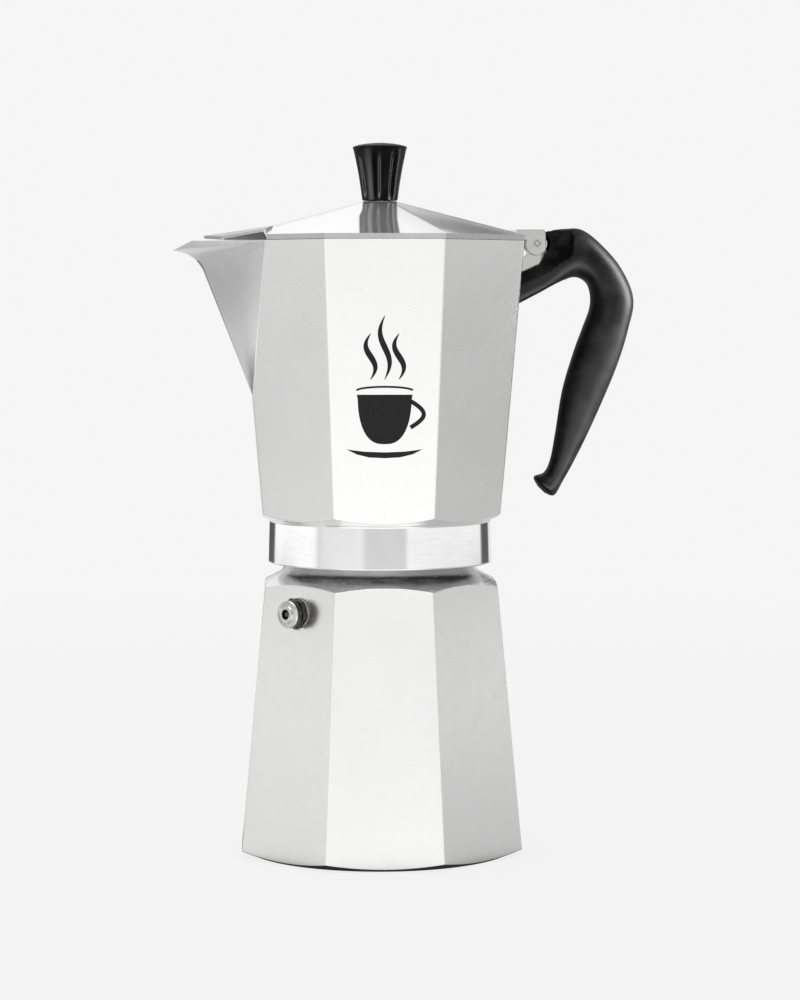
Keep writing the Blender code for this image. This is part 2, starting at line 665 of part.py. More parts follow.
def make_lid(material):
    lid = mesh_object("lid", lid_surface(), material)
    shell = lid.modifiers.new("plate", "SOLIDIFY")
    shell.thickness = LID_PLATE * MM
    shell.offset = -1
    shell.use_even_offset = True
    seat = helper("knob_seat", loft(octagon_rings([(STEM_PLATE_R - 0.1, 264.8),
                                                   (STEM_PLATE_R - 0.1, KNOB_SEAT_Z)])))
    arm = helper("hinge_arm", prism(arm_outline(), EAR_OUTER_Y))
    combine(lid, "UNION", seat, arm)
    fork = helper("hinge_fork", prism([(58.9, 243), (74, 243), (74, 256), (58.9, 256)], EAR_INNER_Y))
    pin_hole = helper("ear_pin_hole", disc(PIN_R + 0.2, -8, 8, 20), along_y(PIN_X, PIN_Z))
    screw_hole = helper("knob_screw_hole", disc(2.0, 255, 270, 16))
    combine(lid, "DIFFERENCE", fork, pin_hole, screw_hole)
    return lid


# ---------------------------------------------------------------- knob

def knob_radius(z):
    """A slightly hollow taper from foot to rim."""
    share = (z - KNOB_BOTTOM_Z) / (KNOB_RIM_Z - KNOB_BOTTOM_Z)
    return between(KNOB_FOOT_R, KNOB_RIM_R, 0.72 * share + 0.28 * share ** 2.5)


def make_knob(material):
    """Fluted taper with a domed top and a socket for its insert."""
    sides = 5 * FLUTES
    rows = [(knob_radius(z), z) for z in (KNOB_BOTTOM_Z, 270, 274, 278, 282, 285, 287)]
    depth = [0.25, 0.7, 1.0, 1.0, 0.9, 0.5, 0.15]
    rows += [(KNOB_RIM_R, KNOB_RIM_Z - 0.3), (KNOB_RIM_R - 0.5, KNOB_RIM_Z + 0.3),
             (7.0, KNOB_TOP_Z - 0.5), (3.0, KNOB_TOP_Z)]
    depth += [0, 0, 0, 0]
    rings = []
    for (radius, z), flute in zip(rows, depth):
        ring = []
        for i in range(sides):
            angle = math.tau * i / sides
            groove = max(0.0, math.cos(FLUTES * angle)) ** 1.5 * flute
            r = radius - groove
            ring.append((r * math.cos(angle), r * math.sin(angle), z))
        rings.append(ring)
    knob = mesh_object("knob", loft(rings), material)
    combine(knob, "DIFFERENCE", helper("insert_socket", disc(3.4, 260, 284.5, 20)))
    return knob


def make_knob_insert(material):
    outline = [(1.8, KNOB_BOTTOM_Z + 0.4), (3.1, KNOB_BOTTOM_Z + 0.4), (3.1, 283.0), (1.8, 283.0)]
    return mesh_object("knob_insert", turned(outline, 20), material)


def make_knob_washer(material):
    outline = [(1.9, 263.5), (5.0, 263.5), (5.0, 264.2), (1.9, 264.2)]
    return mesh_object("knob_washer", turned(outline, 20), material)


def make_knob_screw(material):
    """Pan-head screw from inside the lid."""
    outline = [(0, 261.0), (2.6, 261.0), (3.5, 261.7), (3.5, 263.2), (1.5, 263.2), (1.5, 282.3),
               (0, 282.3)]
    screw = mesh_object("knob_screw", turned(outline, 20), material)
    slot = box((-5, -0.5, 260.3), (5, 0.5, 261.8))
    combine(screw, "DIFFERENCE", helper("knob_screw_slot", slot))
    return screw


# ---------------------------------------------------------------- assembly

def group_on_hinge(pieces):
    """Hangs the lid's pieces on an empty on the hinge's axis."""
    hinge = bpy.data.objects.new("lid_hinge_axis", None)
    bpy.context.scene.collection.objects.link(hinge)
    hinge.location = Vector((PIN_X, 0, PIN_Z)) * MM
    hinge.empty_display_size = 0.01
    for piece in pieces:
        piece.parent = hinge
        piece.matrix_parent_inverse = Matrix.Translation(-hinge.location)


def main():
    clear_scene()
    make_boiler(finish("satin_aluminium", (0.80, 0.80, 0.79), 0.32, 1.0))
    make_valve_washer(finish("fibre", (0.30, 0.28, 0.26), 0.8, 0.0))
    make_valve_body(finish("dark_brass", (0.28, 0.27, 0.25), 0.35, 1.0))
    make_valve_cap(finish("bright_ring", (0.72, 0.72, 0.70), 0.25, 1.0))
    make_valve_plunger(finish("valve_brass", (0.62, 0.55, 0.38), 0.3, 1.0))
    make_valve_seal(finish("valve_rubber", (0.10, 0.10, 0.10), 0.7, 0.0))
    make_valve_spring(finish("spring_steel", (0.55, 0.55, 0.55), 0.3, 1.0))
    make_funnel(finish("plain_aluminium", (0.70, 0.70, 0.70), 0.4, 1.0))
    perforated("funnel_plate", BASKET_R - SHEET - GAP, BASKET_BOTTOM_Z + 2.7, BASKET_BOTTOM_Z + 3.5,
               12.0, 2, 1.6, finish("basket_plate", (0.68, 0.68, 0.68), 0.4, 1.0))
    make_gasket(finish("gasket_rubber", (0.82, 0.80, 0.75), 0.7, 0.0))
    perforated("filter_plate", 40.8, CEILING_Z - 0.8 - GAP, CEILING_Z - GAP,
               12.0, 2, 1.6, finish("filter_aluminium", (0.72, 0.72, 0.72), 0.35, 1.0))
    make_upper_body(finish("vessel_aluminium", (0.84, 0.84, 0.83), 0.28, 1.0))
    make_column(finish("column_aluminium", (0.74, 0.74, 0.73), 0.4, 1.0))
    make_handle(finish("handle_phenolic", (0.015, 0.015, 0.016), 0.38, 0.0))
    make_handle_screw(finish("handle_screw_steel", (0.5, 0.5, 0.5), 0.35, 1.0))
    make_hinge_pin(finish("pin_steel", (0.60, 0.60, 0.60), 0.3, 1.0))
    lid = make_lid(finish("lid_aluminium", (0.85, 0.85, 0.84), 0.22, 1.0))
    knob = make_knob(finish("knob_phenolic", (0.012, 0.012, 0.012), 0.3, 0.0))
    insert = make_knob_insert(finish("insert_brass", (0.70, 0.56, 0.30), 0.35, 1.0))
    washer = make_knob_washer(finish("washer_steel", (0.6, 0.6, 0.6), 0.35, 1.0))
    screw = make_knob_screw(finish("knob_screw_steel", (0.6, 0.6, 0.6), 0.3, 1.0))
    group_on_hinge([lid, knob, insert, washer, screw])


main()
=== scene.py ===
"""Looks of a twelve-cup stovetop moka pot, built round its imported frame.

Lengths are in millimetres, in the frame's own axes, and meshes are scaled to metres: origin on the
pot's axis at the underside of the base, +Z up, +X towards the handle, -X towards the spout.
"""

import math

import bmesh
import bpy
from mathutils import Matrix, Vector


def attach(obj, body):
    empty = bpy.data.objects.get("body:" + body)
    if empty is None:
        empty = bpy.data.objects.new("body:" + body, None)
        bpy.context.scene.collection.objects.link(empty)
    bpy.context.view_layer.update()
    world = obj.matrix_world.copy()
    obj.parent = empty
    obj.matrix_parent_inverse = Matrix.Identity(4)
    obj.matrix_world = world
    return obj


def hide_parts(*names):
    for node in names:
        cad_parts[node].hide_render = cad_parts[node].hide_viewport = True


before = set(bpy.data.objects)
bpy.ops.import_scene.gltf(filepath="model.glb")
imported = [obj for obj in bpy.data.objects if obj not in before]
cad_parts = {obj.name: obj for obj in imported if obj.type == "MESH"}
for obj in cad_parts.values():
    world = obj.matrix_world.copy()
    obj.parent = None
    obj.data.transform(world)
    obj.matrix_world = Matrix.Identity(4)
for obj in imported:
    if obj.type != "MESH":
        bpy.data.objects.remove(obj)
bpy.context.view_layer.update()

MM = 0.001
GAP = 0.3
HALF_SECTOR = math.radians(22.5)
SECTOR = math.radians(45)
COS_HALF = math.cos(HALF_SECTOR)

# Boiler
BASE_R = 54.4
BOILER_FOOT_R = 61.6
BOILER_FOOT_Z = 3.1
BOILER_TOP_R = 51.0
BOILER_TOP_Z = 110.0
NECK_R = 39.0
NECK_TOP_Z = 131.0
NECK_BORE_R = 35.0
BOILER_WALL = 4.0
BOILER_FLOOR = 4.5
EDGE_R = 0.9                   # rounding of the castings' upright edges
FOOT_CONE = (BASE_R, 0.0, 66.0, 4.9)            # turned off the corners: radius, z, radius, z
SHOULDER_CONE = (66.0, 102.9, 47.1, 111.9)

# Screw thread between boiler and upper vessel
THREAD_PITCH = 4.0
THREAD_TURNS = 2.25
THREAD_START_Z = 120.6
THREAD_ROWS = 40
BORE_THREAD_ROWS = 46

# Upper vessel
COLLAR_BOTTOM_Z = 118.8
COLLAR_R = 45.8
COLLAR_TOP_R = 45.3
COLLAR_TOP_Z = 136.3
COLLAR_BORE_R = 41.4
VESSEL_BASE_Z = 139.7
VESSEL_BASE_R = 52.2
RIM_Z = 250.0
RIM_R = 62.1
VESSEL_WALL = 3.0
RIM_WALL = 2.0
UNDER_CONE = (48.2, 137.6, VESSEL_BASE_R, VESSEL_BASE_Z)
CEILING_Z = 137.2
FLOOR_Z = 143.5
COLUMN_HOLE_R = 7.0

# Spout
SPOUT_START_Z = 187.0
SPOUT_SHARE = 0.33
KEEL_SLOPE = 0.40
LIP_UNDERSIDE_Z = 246.0
LIP_BEND_R = 16.0
LIP_FLARE = 1.2
LIP_CUT_X, LIP_CUT_Z, LIP_CUT_SLOPE = 75.6, 250.5, -0.49

# Basket, column
COLUMN_SPIGOT_R = 6.7
COLUMN_TOP_Z = 226.0
BASKET_R = 34.4
BASKET_FLANGE_R = 38.6
BASKET_BOTTOM_Z = 98.0
SHEET = 1.2
STEM_R = 6.0
STEM_END_Z = 14.0

# Lid
SKIRT_BOTTOM_Z = RIM_Z + GAP
SKIRT_TOP_Z = 252.2
LID_PLATE = 1.2
STEM_PLATE_R = 7.58
PYRAMID_TOP_Z = 266.0
KNOB_SEAT_Z = 266.2
RIDGE_START_X = 40.8
BEAK_TIP_X = 71.8

# Hinge
PIN_X = 63.9
PIN_Z = 249.1
PIN_R = 1.5
EAR_R = 4.8
EAR_END_X = 67.6
EAR_OUTER_Y = 6.3
TONGUE_Y = 2.9
EAR_INNER_Y = TONGUE_Y + 0.4
ARM_TOP_Z = 254.6
EAR_SWEEP_R = 6.95

# Knob
KNOB_BOTTOM_Z = KNOB_SEAT_Z + GAP
KNOB_RIM_Z = 288.3
KNOB_FOOT_R = 7.2
KNOB_RIM_R = 11.1
KNOB_TOP_Z = 290.0
FLUTES = 8
FLUTE_TURN = math.radians(35.6)

# Safety valve: distances along its axis are from the pot's axis
VALVE_Z = 101.0
VALVE_DIRECTION = math.radians(225)
VALVE_SEAT = 47.4
VALVE_BORE_R = 2.8
VALVE_BODY_LOW = VALVE_SEAT + GAP + 0.8 + GAP
VALVE_BODY_HIGH = VALVE_BODY_LOW + 4.6
VALVE_HEAD_R = 5.6

# Handle: (inner x, inner z, outer x, outer z, half width) of sections from the vessel to the tip
HANDLE_SCREW_X = 73.0
NOTCH_X = 70.7
HANDLE_END_X = 103.75
HANDLE_SECTIONS = (
    (53.5, 223.0, 60.0, 254.6, 8.5),
    (63.5, 228.2, 68.0, 254.4, 8.5),
    (72.4, 232.9, 75.5, 255.1, 8.8),
    (79.5, 235.4, 82.5, 254.8, 9.2),
    (84.3, 233.3, 90.0, 249.3, 9.6),
    (86.2, 228.6, 98.6, 239.4, 9.8),
    (86.0, 222.8, 103.9, 226.8, 9.8),
    (83.3, 215.1, 101.9, 214.2, 9.6),
    (79.4, 204.5, 97.8, 200.5, 9.2),
    (74.9, 189.0, 91.9, 185.9, 8.4),
    (72.1, 171.5, 84.6, 169.7, 7.4),
    (70.1, 160.8, 79.0, 158.6, 6.8),
    (67.6, 155.4, 75.4, 152.2, 7.0),
    (63.8, 153.9, 72.3, 146.6, 7.8),
    (62.7, 151.8, 69.9, 144.8, 6.8),
)

# Camera and stage
CAMERA_DISTANCE = 1.2515
CAMERA_HEIGHT = 0.2272
CAMERA_AZIMUTH = math.radians(2.41)
CAMERA_ASIDE = 0.0082
CAMERA_TILT = math.radians(3.8)
LENS = 109.9
BACKDROP = 0.915


# ---------------------------------------------------------------- mesh tools

def between(low, high, share):
    return low + (high - low) * share


def clamp(value, low=0.0, high=1.0):
    return max(low, min(high, value))


def ease(share):
    share = clamp(share)
    return share * share * (3 - 2 * share)


def mesh_object(name, bm, materials, matrix=None, sharp=32):
    """An object from a bmesh in millimetres, shaded smooth except over sharp edges."""
    bmesh.ops.recalc_face_normals(bm, faces=bm.faces)
    mesh = bpy.data.meshes.new(name)
    bm.to_mesh(mesh)
    bm.free()
    if matrix:
        mesh.transform(matrix)
    mesh.transform(Matrix.Scale(MM, 4))
    for material in materials:
        mesh.materials.append(material)
    mesh.shade_smooth()
    mesh.set_sharp_from_angle(angle=math.radians(sharp))
    obj = bpy.data.objects.new(name, mesh)
    bpy.context.scene.collection.objects.link(obj)
    return obj


def tool(name, bm, matrix=None):
    """A cutter for a Boolean, removed when the Boolean is applied."""
    return mesh_object(name, bm, [], matrix)


def combine(obj, operation, *tools):
    for cutter in tools:
        step = obj.modifiers.new(cutter.name, "BOOLEAN")
        step.operation = operation
        step.solver = "EXACT"
        step.object = cutter
    return obj


def bevel(obj, width, segments=2, angle=30):
    step = obj.modifiers.new("bevel", "BEVEL")
    step.width = width * MM
    step.segments = segments
    step.limit_method = "ANGLE"
    step.angle_limit = math.radians(angle)
    step.harden_normals = False
    return obj


def weighted_normals(obj):
    step = obj.modifiers.new("normals", "WEIGHTED_NORMAL")
    step.keep_sharp = True


def bake(obj, sharp=32):
    """Applies the object's modifiers and removes the cutters that they used."""
    cutters = [m.object for m in obj.modifiers if m.type == "BOOLEAN"]
    graph = bpy.context.evaluated_depsgraph_get()
    made = bpy.data.meshes.new_from_object(obj.evaluated_get(graph))
    obj.modifiers.clear()
    obj.data = made
    made.shade_smooth()
    made.set_sharp_from_angle(angle=math.radians(sharp))
    for cutter in cutters:
        bpy.data.objects.remove(cutter)
    return obj


def place(obj, body, slot, *nodes):
    """Puts a piece on its body in place of CAD nodes; the slot is not used."""
    weighted_normals(obj)
    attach(obj, body)
    if nodes:
        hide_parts(*nodes)
    return obj


def bezier(start, middle, end, s):
    return start * (1 - s) ** 2 + middle * 2 * s * (1 - s) + end * s ** 2


def eased(points, corners, steps=3):
    """The points with the given corners rounded over a distance along both neighbours."""
    made = []
    for i, point in enumerate(points):
        point = Vector(point)
        if i not in corners:
            made.append(point)
            continue
        before = Vector(points[i - 1]) - point
        after = Vector(points[(i + 1) % len(points)]) - point
        start = point + before.normalized() * min(corners[i], before.length * 0.45)
        end = point + after.normalized() * min(corners[i], after.length * 0.45)
        made += [bezier(start, point, end, k / steps) for k in range(steps + 1)]
    return made


def turned(outline, steps=96):
    """A closed (radius, height) outline turned about Z."""
    bm = bmesh.new()
    verts = [bm.verts.new((p[0], 0.0, p[1])) for p in outline]
    edges = [bm.edges.new((a, b)) for a, b in zip(verts, verts[1:] + verts[:1])
             if a.co.x > 0 or b.co.x > 0]
    bmesh.ops.spin(bm, geom=verts + edges, cent=(0, 0, 0), axis=(0, 0, 1), dvec=(0, 0, 0),
                   angle=math.tau, steps=steps, use_merge=True)
    bmesh.ops.remove_doubles(bm, verts=bm.verts, dist=1e-4)
    return bm


def turned_soft(outline, corners, steps=96):
    """A turned body whose listed outline corners are rounded."""
    flat = [(r, z, 0) for r, z in outline]
    return turned([(p.x, p.y) for p in eased(flat, corners)], steps)


def grid(columns, bands=None, closed=False):
    """A body from equally long columns of points that go round it; bands give material indices."""
    bm = bmesh.new()
    loops = [[bm.verts.new(point) for point in column] for column in columns]
    rows, count = len(columns[0]), len(columns)
    for i in range(count):
        near, far = loops[i], loops[(i + 1) % count]
        for k in range(rows if closed else rows - 1):
            m = (k + 1) % rows
            face = bm.faces.new((near[k], far[k], far[m], near[m]))
            if bands:
                face.material_index = bands[k]
    if not closed:
        for k in (0, rows - 1):
            cap = bm.faces.new([loop[k] for loop in loops])
            cap.material_index = bands[min(k, rows - 2)] if bands else 0
    return bm


def loft(rings):
    """A closed body through rings of equally many points, with flat ends."""
    return grid([list(track) for track in zip(*rings)])


def prism(outline, half_width):
    """An (x, z) outline made as thick as twice half_width across Y."""
    return loft([[(x, y, z) for x, z in outline] for y in (-half_width, half_width)])


def box(low, high):
    (x0, y0, z0), (x1, y1, z1) = low, high
    return loft([[(x0, y0, z), (x1, y0, z), (x1, y1, z), (x0, y1, z)] for z in (z0, z1)])


def disc(radius, low, high, steps=48):
    return turned([(0, low), (radius, low), (radius, high), (0, high)], steps)


def arc(centre, radius, start, end, steps):
    """Points on a circle, angles in degrees."""
    angles = [math.radians(between(start, end, i / steps)) for i in range(steps + 1)]
    return [(centre[0] + radius * math.cos(a), centre[1] + radius * math.sin(a)) for a in angles]


def along_y(centre_x, centre_z):
    """Turns a shape made along Z to lie along Y through (x, z)."""
    return Matrix.Translation((centre_x, 0, centre_z)) @ Matrix.Rotation(math.radians(90), 4, "X")


def around(angle):
    """Makes points at one angle round Z from a radius and a height."""
    return lambda r, z: (r * math.cos(angle), r * math.sin(angle), z)


def cone(z, low_r, low_z, high_r, high_z):
    """The radius at height z of a cone through two circles."""
    return between(low_r, high_r, (z - low_z) / (high_z - low_z))


def octagon(corner_radius):
    angles = [HALF_SECTOR + SECTOR * i for i in range(8)]
    return [(corner_radius * math.cos(a), corner_radius * math.sin(a)) for a in angles]


def meeting(low, high, excess):
    """The height between low and high at which a growing excess passes zero."""
    for _ in range(30):
        middle = (low + high) / 2
        if excess(middle) > 0:
            high = middle
        else:
            low = middle
    return (low + high) / 2


def thread_height(angle, z, start_z):
    """How far a screw thread's ridge stands out at this angle and height."""
    best = 0.0
    for turn in range(3):
        travelled = (angle % math.tau) / math.tau + turn
        if travelled <= THREAD_TURNS:
            fade = clamp(4 * travelled) * clamp(4 * (THREAD_TURNS - travelled))
            off = abs(z - start_z - THREAD_PITCH * travelled)
            best = max(best, fade * clamp((1.25 - off) / 0.7))
    return best


# ---------------------------------------------------------------- node fields

class Field:
    """A shader value that can be reckoned with like a number."""

    def __init__(self, tree, socket):
        self.tree, self.socket = tree, socket

    def math(self, operation, *others):
        node = self.tree.nodes.new("ShaderNodeMath")
        node.operation = operation
        for slot, value in zip(node.inputs, (self, *others)):
            if isinstance(value, Field):
                self.tree.links.new(value.socket, slot)
            else:
                slot.default_value = value
        return Field(self.tree, node.outputs[0])

    def __add__(self, other):
        return self.math("ADD", other)

    def __sub__(self, other):
        return self.math("SUBTRACT", other)

    def __mul__(self, other):
        return self.math("MULTIPLY", other)

    def spread(self, low, high, to_low=0.0, to_high=1.0):
        """Maps low..high smoothly to to_low..to_high."""
        node = self.tree.nodes.new("ShaderNodeMapRange")
        node.interpolation_type = "SMOOTHSTEP"
        self.tree.links.new(self.socket, node.inputs["Value"])
        for name, value in (("From Min", low), ("From Max", high), ("To Min", to_low), ("To Max", to_high)):
            node.inputs[name].default_value = value
        return Field(self.tree, node.outputs[0])


def object_place(tree):
    return Field(tree, tree.nodes.new("ShaderNodeTexCoord").outputs["Object"])


def parts_of(field):
    node = field.tree.nodes.new("ShaderNodeSeparateXYZ")
    field.tree.links.new(field.socket, node.inputs[0])
    return [Field(field.tree, node.outputs[i]) for i in range(3)]


def stretched(field, scale):
    node = field.tree.nodes.new("ShaderNodeMapping")
    field.tree.links.new(field.socket, node.inputs["Vector"])
    node.inputs["Scale"].default_value = scale
    return Field(field.tree, node.outputs[0])


def noise(field, scale, detail=3.0, roughness=0.5):
    """Noise with a grain of about 1 / scale metres."""
    node = field.tree.nodes.new("ShaderNodeTexNoise")
    field.tree.links.new(field.socket, node.inputs["Vector"])
    node.inputs["Scale"].default_value = scale
    node.inputs["Detail"].default_value = detail
    node.inputs["Roughness"].default_value = roughness
    return Field(field.tree, node.outputs["Fac"])


def mixed(tree, share, low, high):
    """A colour between two colours."""
    node = tree.nodes.new("ShaderNodeMix")
    node.data_type = "RGBA"
    tree.links.new(share.socket, node.inputs["Factor"])
    node.inputs[6].default_value = (*low, 1)
    node.inputs[7].default_value = (*high, 1)
    return node.outputs[2]


def bumped(tree, *layers):
    """A normal from (height field, depth in millimetres) layers, one over the other."""
    normal = None
    for height, depth in layers:
        node = tree.nodes.new("ShaderNodeBump")
        node.inputs["Strength"].default_value = 1.0
        node.inputs["Distance"].default_value = depth * MM
        tree.links.new(height.socket, node.inputs["Height"])
        if normal:
            tree.links.new(normal, node.inputs["Normal"])
        normal = node.outputs[0]
    return normal


def material(name, metallic, specular=0.5):
    """A Principled material, its tree and the coordinates of the object that wears it."""
    made = bpy.data.materials.new(name)
    made.use_nodes = True
    inputs = made.node_tree.nodes["Principled BSDF"].inputs
    inputs["Metallic"].default_value = metallic
    inputs["Specular IOR Level"].default_value = specular
    return made, made.node_tree, object_place(made.node_tree)


def dressed(made, colour, roughness, *layers):
    """The material with a colour socket, a roughness field and bump layers wired to its shader."""
    tree = made.node_tree
    inputs = tree.nodes["Principled BSDF"].inputs
    tree.links.new(colour, inputs["Base Color"])
    tree.links.new(roughness.socket, inputs["Roughness"])
    if layers:
        tree.links.new(bumped(tree, *layers), inputs["Normal"])
    return made


def toned(colour, factor, lift=0.0):
    return tuple(min(1.0, c * factor + lift) for c in colour)


# ---------------------------------------------------------------- materials

def aluminium(name, tint, roughness, grain, streak=0.0, cloud=0.03, metallic=1.0):
    """Aluminium: cloudy tone, uneven roughness, fine grain, and faint streaks along Z if asked."""
    made, tree, at = material(name, metallic)
    clouds, patches = noise(at, 28.0, 4.0, 0.55), noise(at, 210.0, 3.0, 0.6)
    colour = mixed(tree, clouds.spread(0.3, 0.7), toned(tint, 1 - cloud), tint)
    worn = clouds.spread(0.35, 0.7, -0.015, 0.015) + patches.spread(0.3, 0.7, -0.01, 0.01)
    layers = [(noise(at, 1900.0, 2.0, 0.6), grain)]
    if streak:
        layers.append((noise(stretched(at, (1, 1, 0.04)), 900.0, 2.0), streak))
    return dressed(made, colour, worn + roughness, *layers)


def turned_aluminium(name, tint, roughness, groove):
    """Lathe-turned or polished aluminium with fine rings round the pot's axis."""
    made, tree, at = material(name, 1.0)
    rings = noise(stretched(at, (0.05, 0.05, 1)), 2600.0, 2.0)
    colour = mixed(tree, noise(at, 60.0, 3.0).spread(0.3, 0.7), toned(tint, 0.95), tint)
    return dressed(made, colour, rings.spread(0.3, 0.7, roughness * 0.8, roughness * 1.25),
                   (rings, groove))


def moulded(name, tone, roughness, specular, grain=0.004):
    """Moulded phenolic: near black, with a faint mottle and orange peel."""
    made, tree, at = material(name, 0.0, specular)
    mottle, peel = noise(at, 160.0, 4.0, 0.6), noise(at, 700.0, 2.0)
    colour = (tone, tone, tone)
    return dressed(made, mixed(tree, mottle.spread(0.35, 0.75), colour, toned(colour, 1.7, 0.001)),
                   mottle.spread(0.3, 0.75, roughness - 0.04, roughness + 0.05),
                   (peel, grain), (mottle, grain * 2))


def metal(name, tint, roughness, cloud=0.25):
    """Small metal parts with tarnish and fine wear."""
    made, tree, at = material(name, 1.0)
    tarnish, wear = noise(at, 420.0, 4.0, 0.65), noise(at, 2400.0, 2.0)
    return dressed(made, mixed(tree, tarnish.spread(0.3, 0.7), toned(tint, 1 - cloud), tint),
                   tarnish.spread(0.3, 0.7, 0.08, -0.04) + roughness, (wear, 0.004))


def rubber(name, colour, roughness):
    """Rubber or fibre with dusty patches and a fine skin."""
    made, tree, at = material(name, 0.0, 0.4)
    dust, skin = noise(at, 350.0, 4.0, 0.6), noise(at, 1500.0, 2.0)
    return dressed(made, mixed(tree, dust.spread(0.35, 0.7), colour, toned(colour, 1.15, 0.01)),
                   dust.spread(0.3, 0.7, roughness - 0.06, roughness + 0.06), (skin, 0.01))


def printed(name):
    """Black printing ink with a slightly uneven film."""
    made, tree, at = material(name, 0.0, 0.25)
    film = noise(at, 900.0, 3.0)
    colour = mixed(tree, film.spread(0.3, 0.7), (0.006, 0.006, 0.007), (0.012, 0.012, 0.013))
    return dressed(made, colour, film.spread(0.3, 0.7, 0.42, 0.55))


BRIGHT = (0.93, 0.93, 0.925)
SATIN = aluminium("satin_cast_aluminium", BRIGHT, 0.27, 0.0002, streak=0.0003, cloud=0.02)
SPOUT_SATIN = aluminium("hand_polished_spout", (0.80, 0.80, 0.80), 0.34, 0.001, cloud=0.10)
# The spout's keel is coloured dark aluminium: a painted dark reflection along the keel.
KEEL_PAINTED_SHADE = aluminium("burnished_keel", (0.3, 0.3, 0.3), 0.3, 0.001, cloud=0.3)
POLISHED = turned_aluminium("polished_collar", (0.92, 0.92, 0.92), 0.1, 0.0004)
LID_POLISH = aluminium("polished_lid", (0.92, 0.92, 0.92), 0.09, 0.0003, metallic=0.80)
EAR_SATIN = aluminium("ground_ears", (0.60, 0.60, 0.595), 0.3, 0.0012, cloud=0.08)
SKIRT = aluminium("turned_skirt", (0.58, 0.58, 0.578), 0.26, 0.0008, cloud=0.05)
MACHINED = turned_aluminium("machined_aluminium", (0.80, 0.80, 0.80), 0.22, 0.001)
INSIDE = aluminium("bare_inside", (0.70, 0.70, 0.70), 0.42, 0.004, cloud=0.15)
# Painted shade: a dark colour for the floors of the lines cut into the hinge pin's ends.
SHADED = aluminium("dull_underside", (0.16, 0.16, 0.16), 0.5, 0.003, cloud=0.2)
PRESSED = aluminium("pressed_sheet", (0.80, 0.80, 0.79), 0.3, 0.002, cloud=0.08)
PHENOLIC = moulded("black_phenolic", 0.0005, 0.44, 0.035)
# Painted shade: darker, less glossy phenolic for the handle's sunk cheeks beside the hinge.
PHENOLIC_RECESS_PAINTED_SHADE = moulded("black_phenolic_recess", 0.0001, 0.5, 0.01)
KNOB_BLACK = moulded("black_phenolic_knob", 0.0004, 0.35, 0.05)
STEEL = metal("plain_steel", (0.62, 0.61, 0.60), 0.3)
DARK_BRASS = metal("darkened_brass", (0.075, 0.073, 0.07), 0.3, 0.4)
VALVE_RING = metal("bright_valve_ring", (0.72, 0.72, 0.71), 0.22, 0.2)
BRASS = metal("brass", (0.76, 0.62, 0.38), 0.28)
# Painted shade: the brass plunger coloured dark, as the shade inside the valve cap's hole.
PLUNGER_PAINTED_SHADE = metal("dull_pin", (0.16, 0.14, 0.11), 0.4)
GASKET = rubber("pale_gasket_rubber", (0.72, 0.69, 0.62), 0.6)
SEAL = rubber("black_rubber", (0.015, 0.015, 0.015), 0.6)
FIBRE = rubber("fibre_washer", (0.30, 0.29, 0.28), 0.8)
INK = printed("black_ink")


# ---------------------------------------------------------------- boiler

FACE_STEPS = 20
CORNER_STEPS = 4


def boiler_corner_radius(z):
    return between(BOILER_FOOT_R, BOILER_TOP_R, (z - BOILER_FOOT_Z) / (BOILER_TOP_Z - BOILER_FOOT_Z))


def octagon_point(corner_radius, sector, share, on_corner):
    """A point of the octagon with rounded corners: along a face (-1..1), or round a corner (0..1)."""
    apothem = corner_radius * COS_HALF
    turn = SECTOR * sector
    if on_corner:
        hub = (apothem - EDGE_R) / COS_HALF
        angle = turn + SECTOR * share
        hub_angle = turn + HALF_SECTOR
        return Vector((hub * math.cos(hub_angle) + EDGE_R * math.cos(angle),
                       hub * math.sin(hub_angle) + EDGE_R * math.sin(angle)))
    along = share * (apothem - EDGE_R) * math.tan(HALF_SECTOR)
    return Vector((apothem * math.cos(turn) - along * math.sin(turn),
                   apothem * math.sin(turn) + along * math.cos(turn)))


def octagon_tracks():
    """Every (sector, share, on_corner) round the octagon."""
    tracks = []
    for sector in range(8):
        tracks += [(sector, 2 * i / FACE_STEPS - 1, False) for i in range(FACE_STEPS)]
        tracks += [(sector, i / CORNER_STEPS, True) for i in range(CORNER_STEPS)]
    return tracks


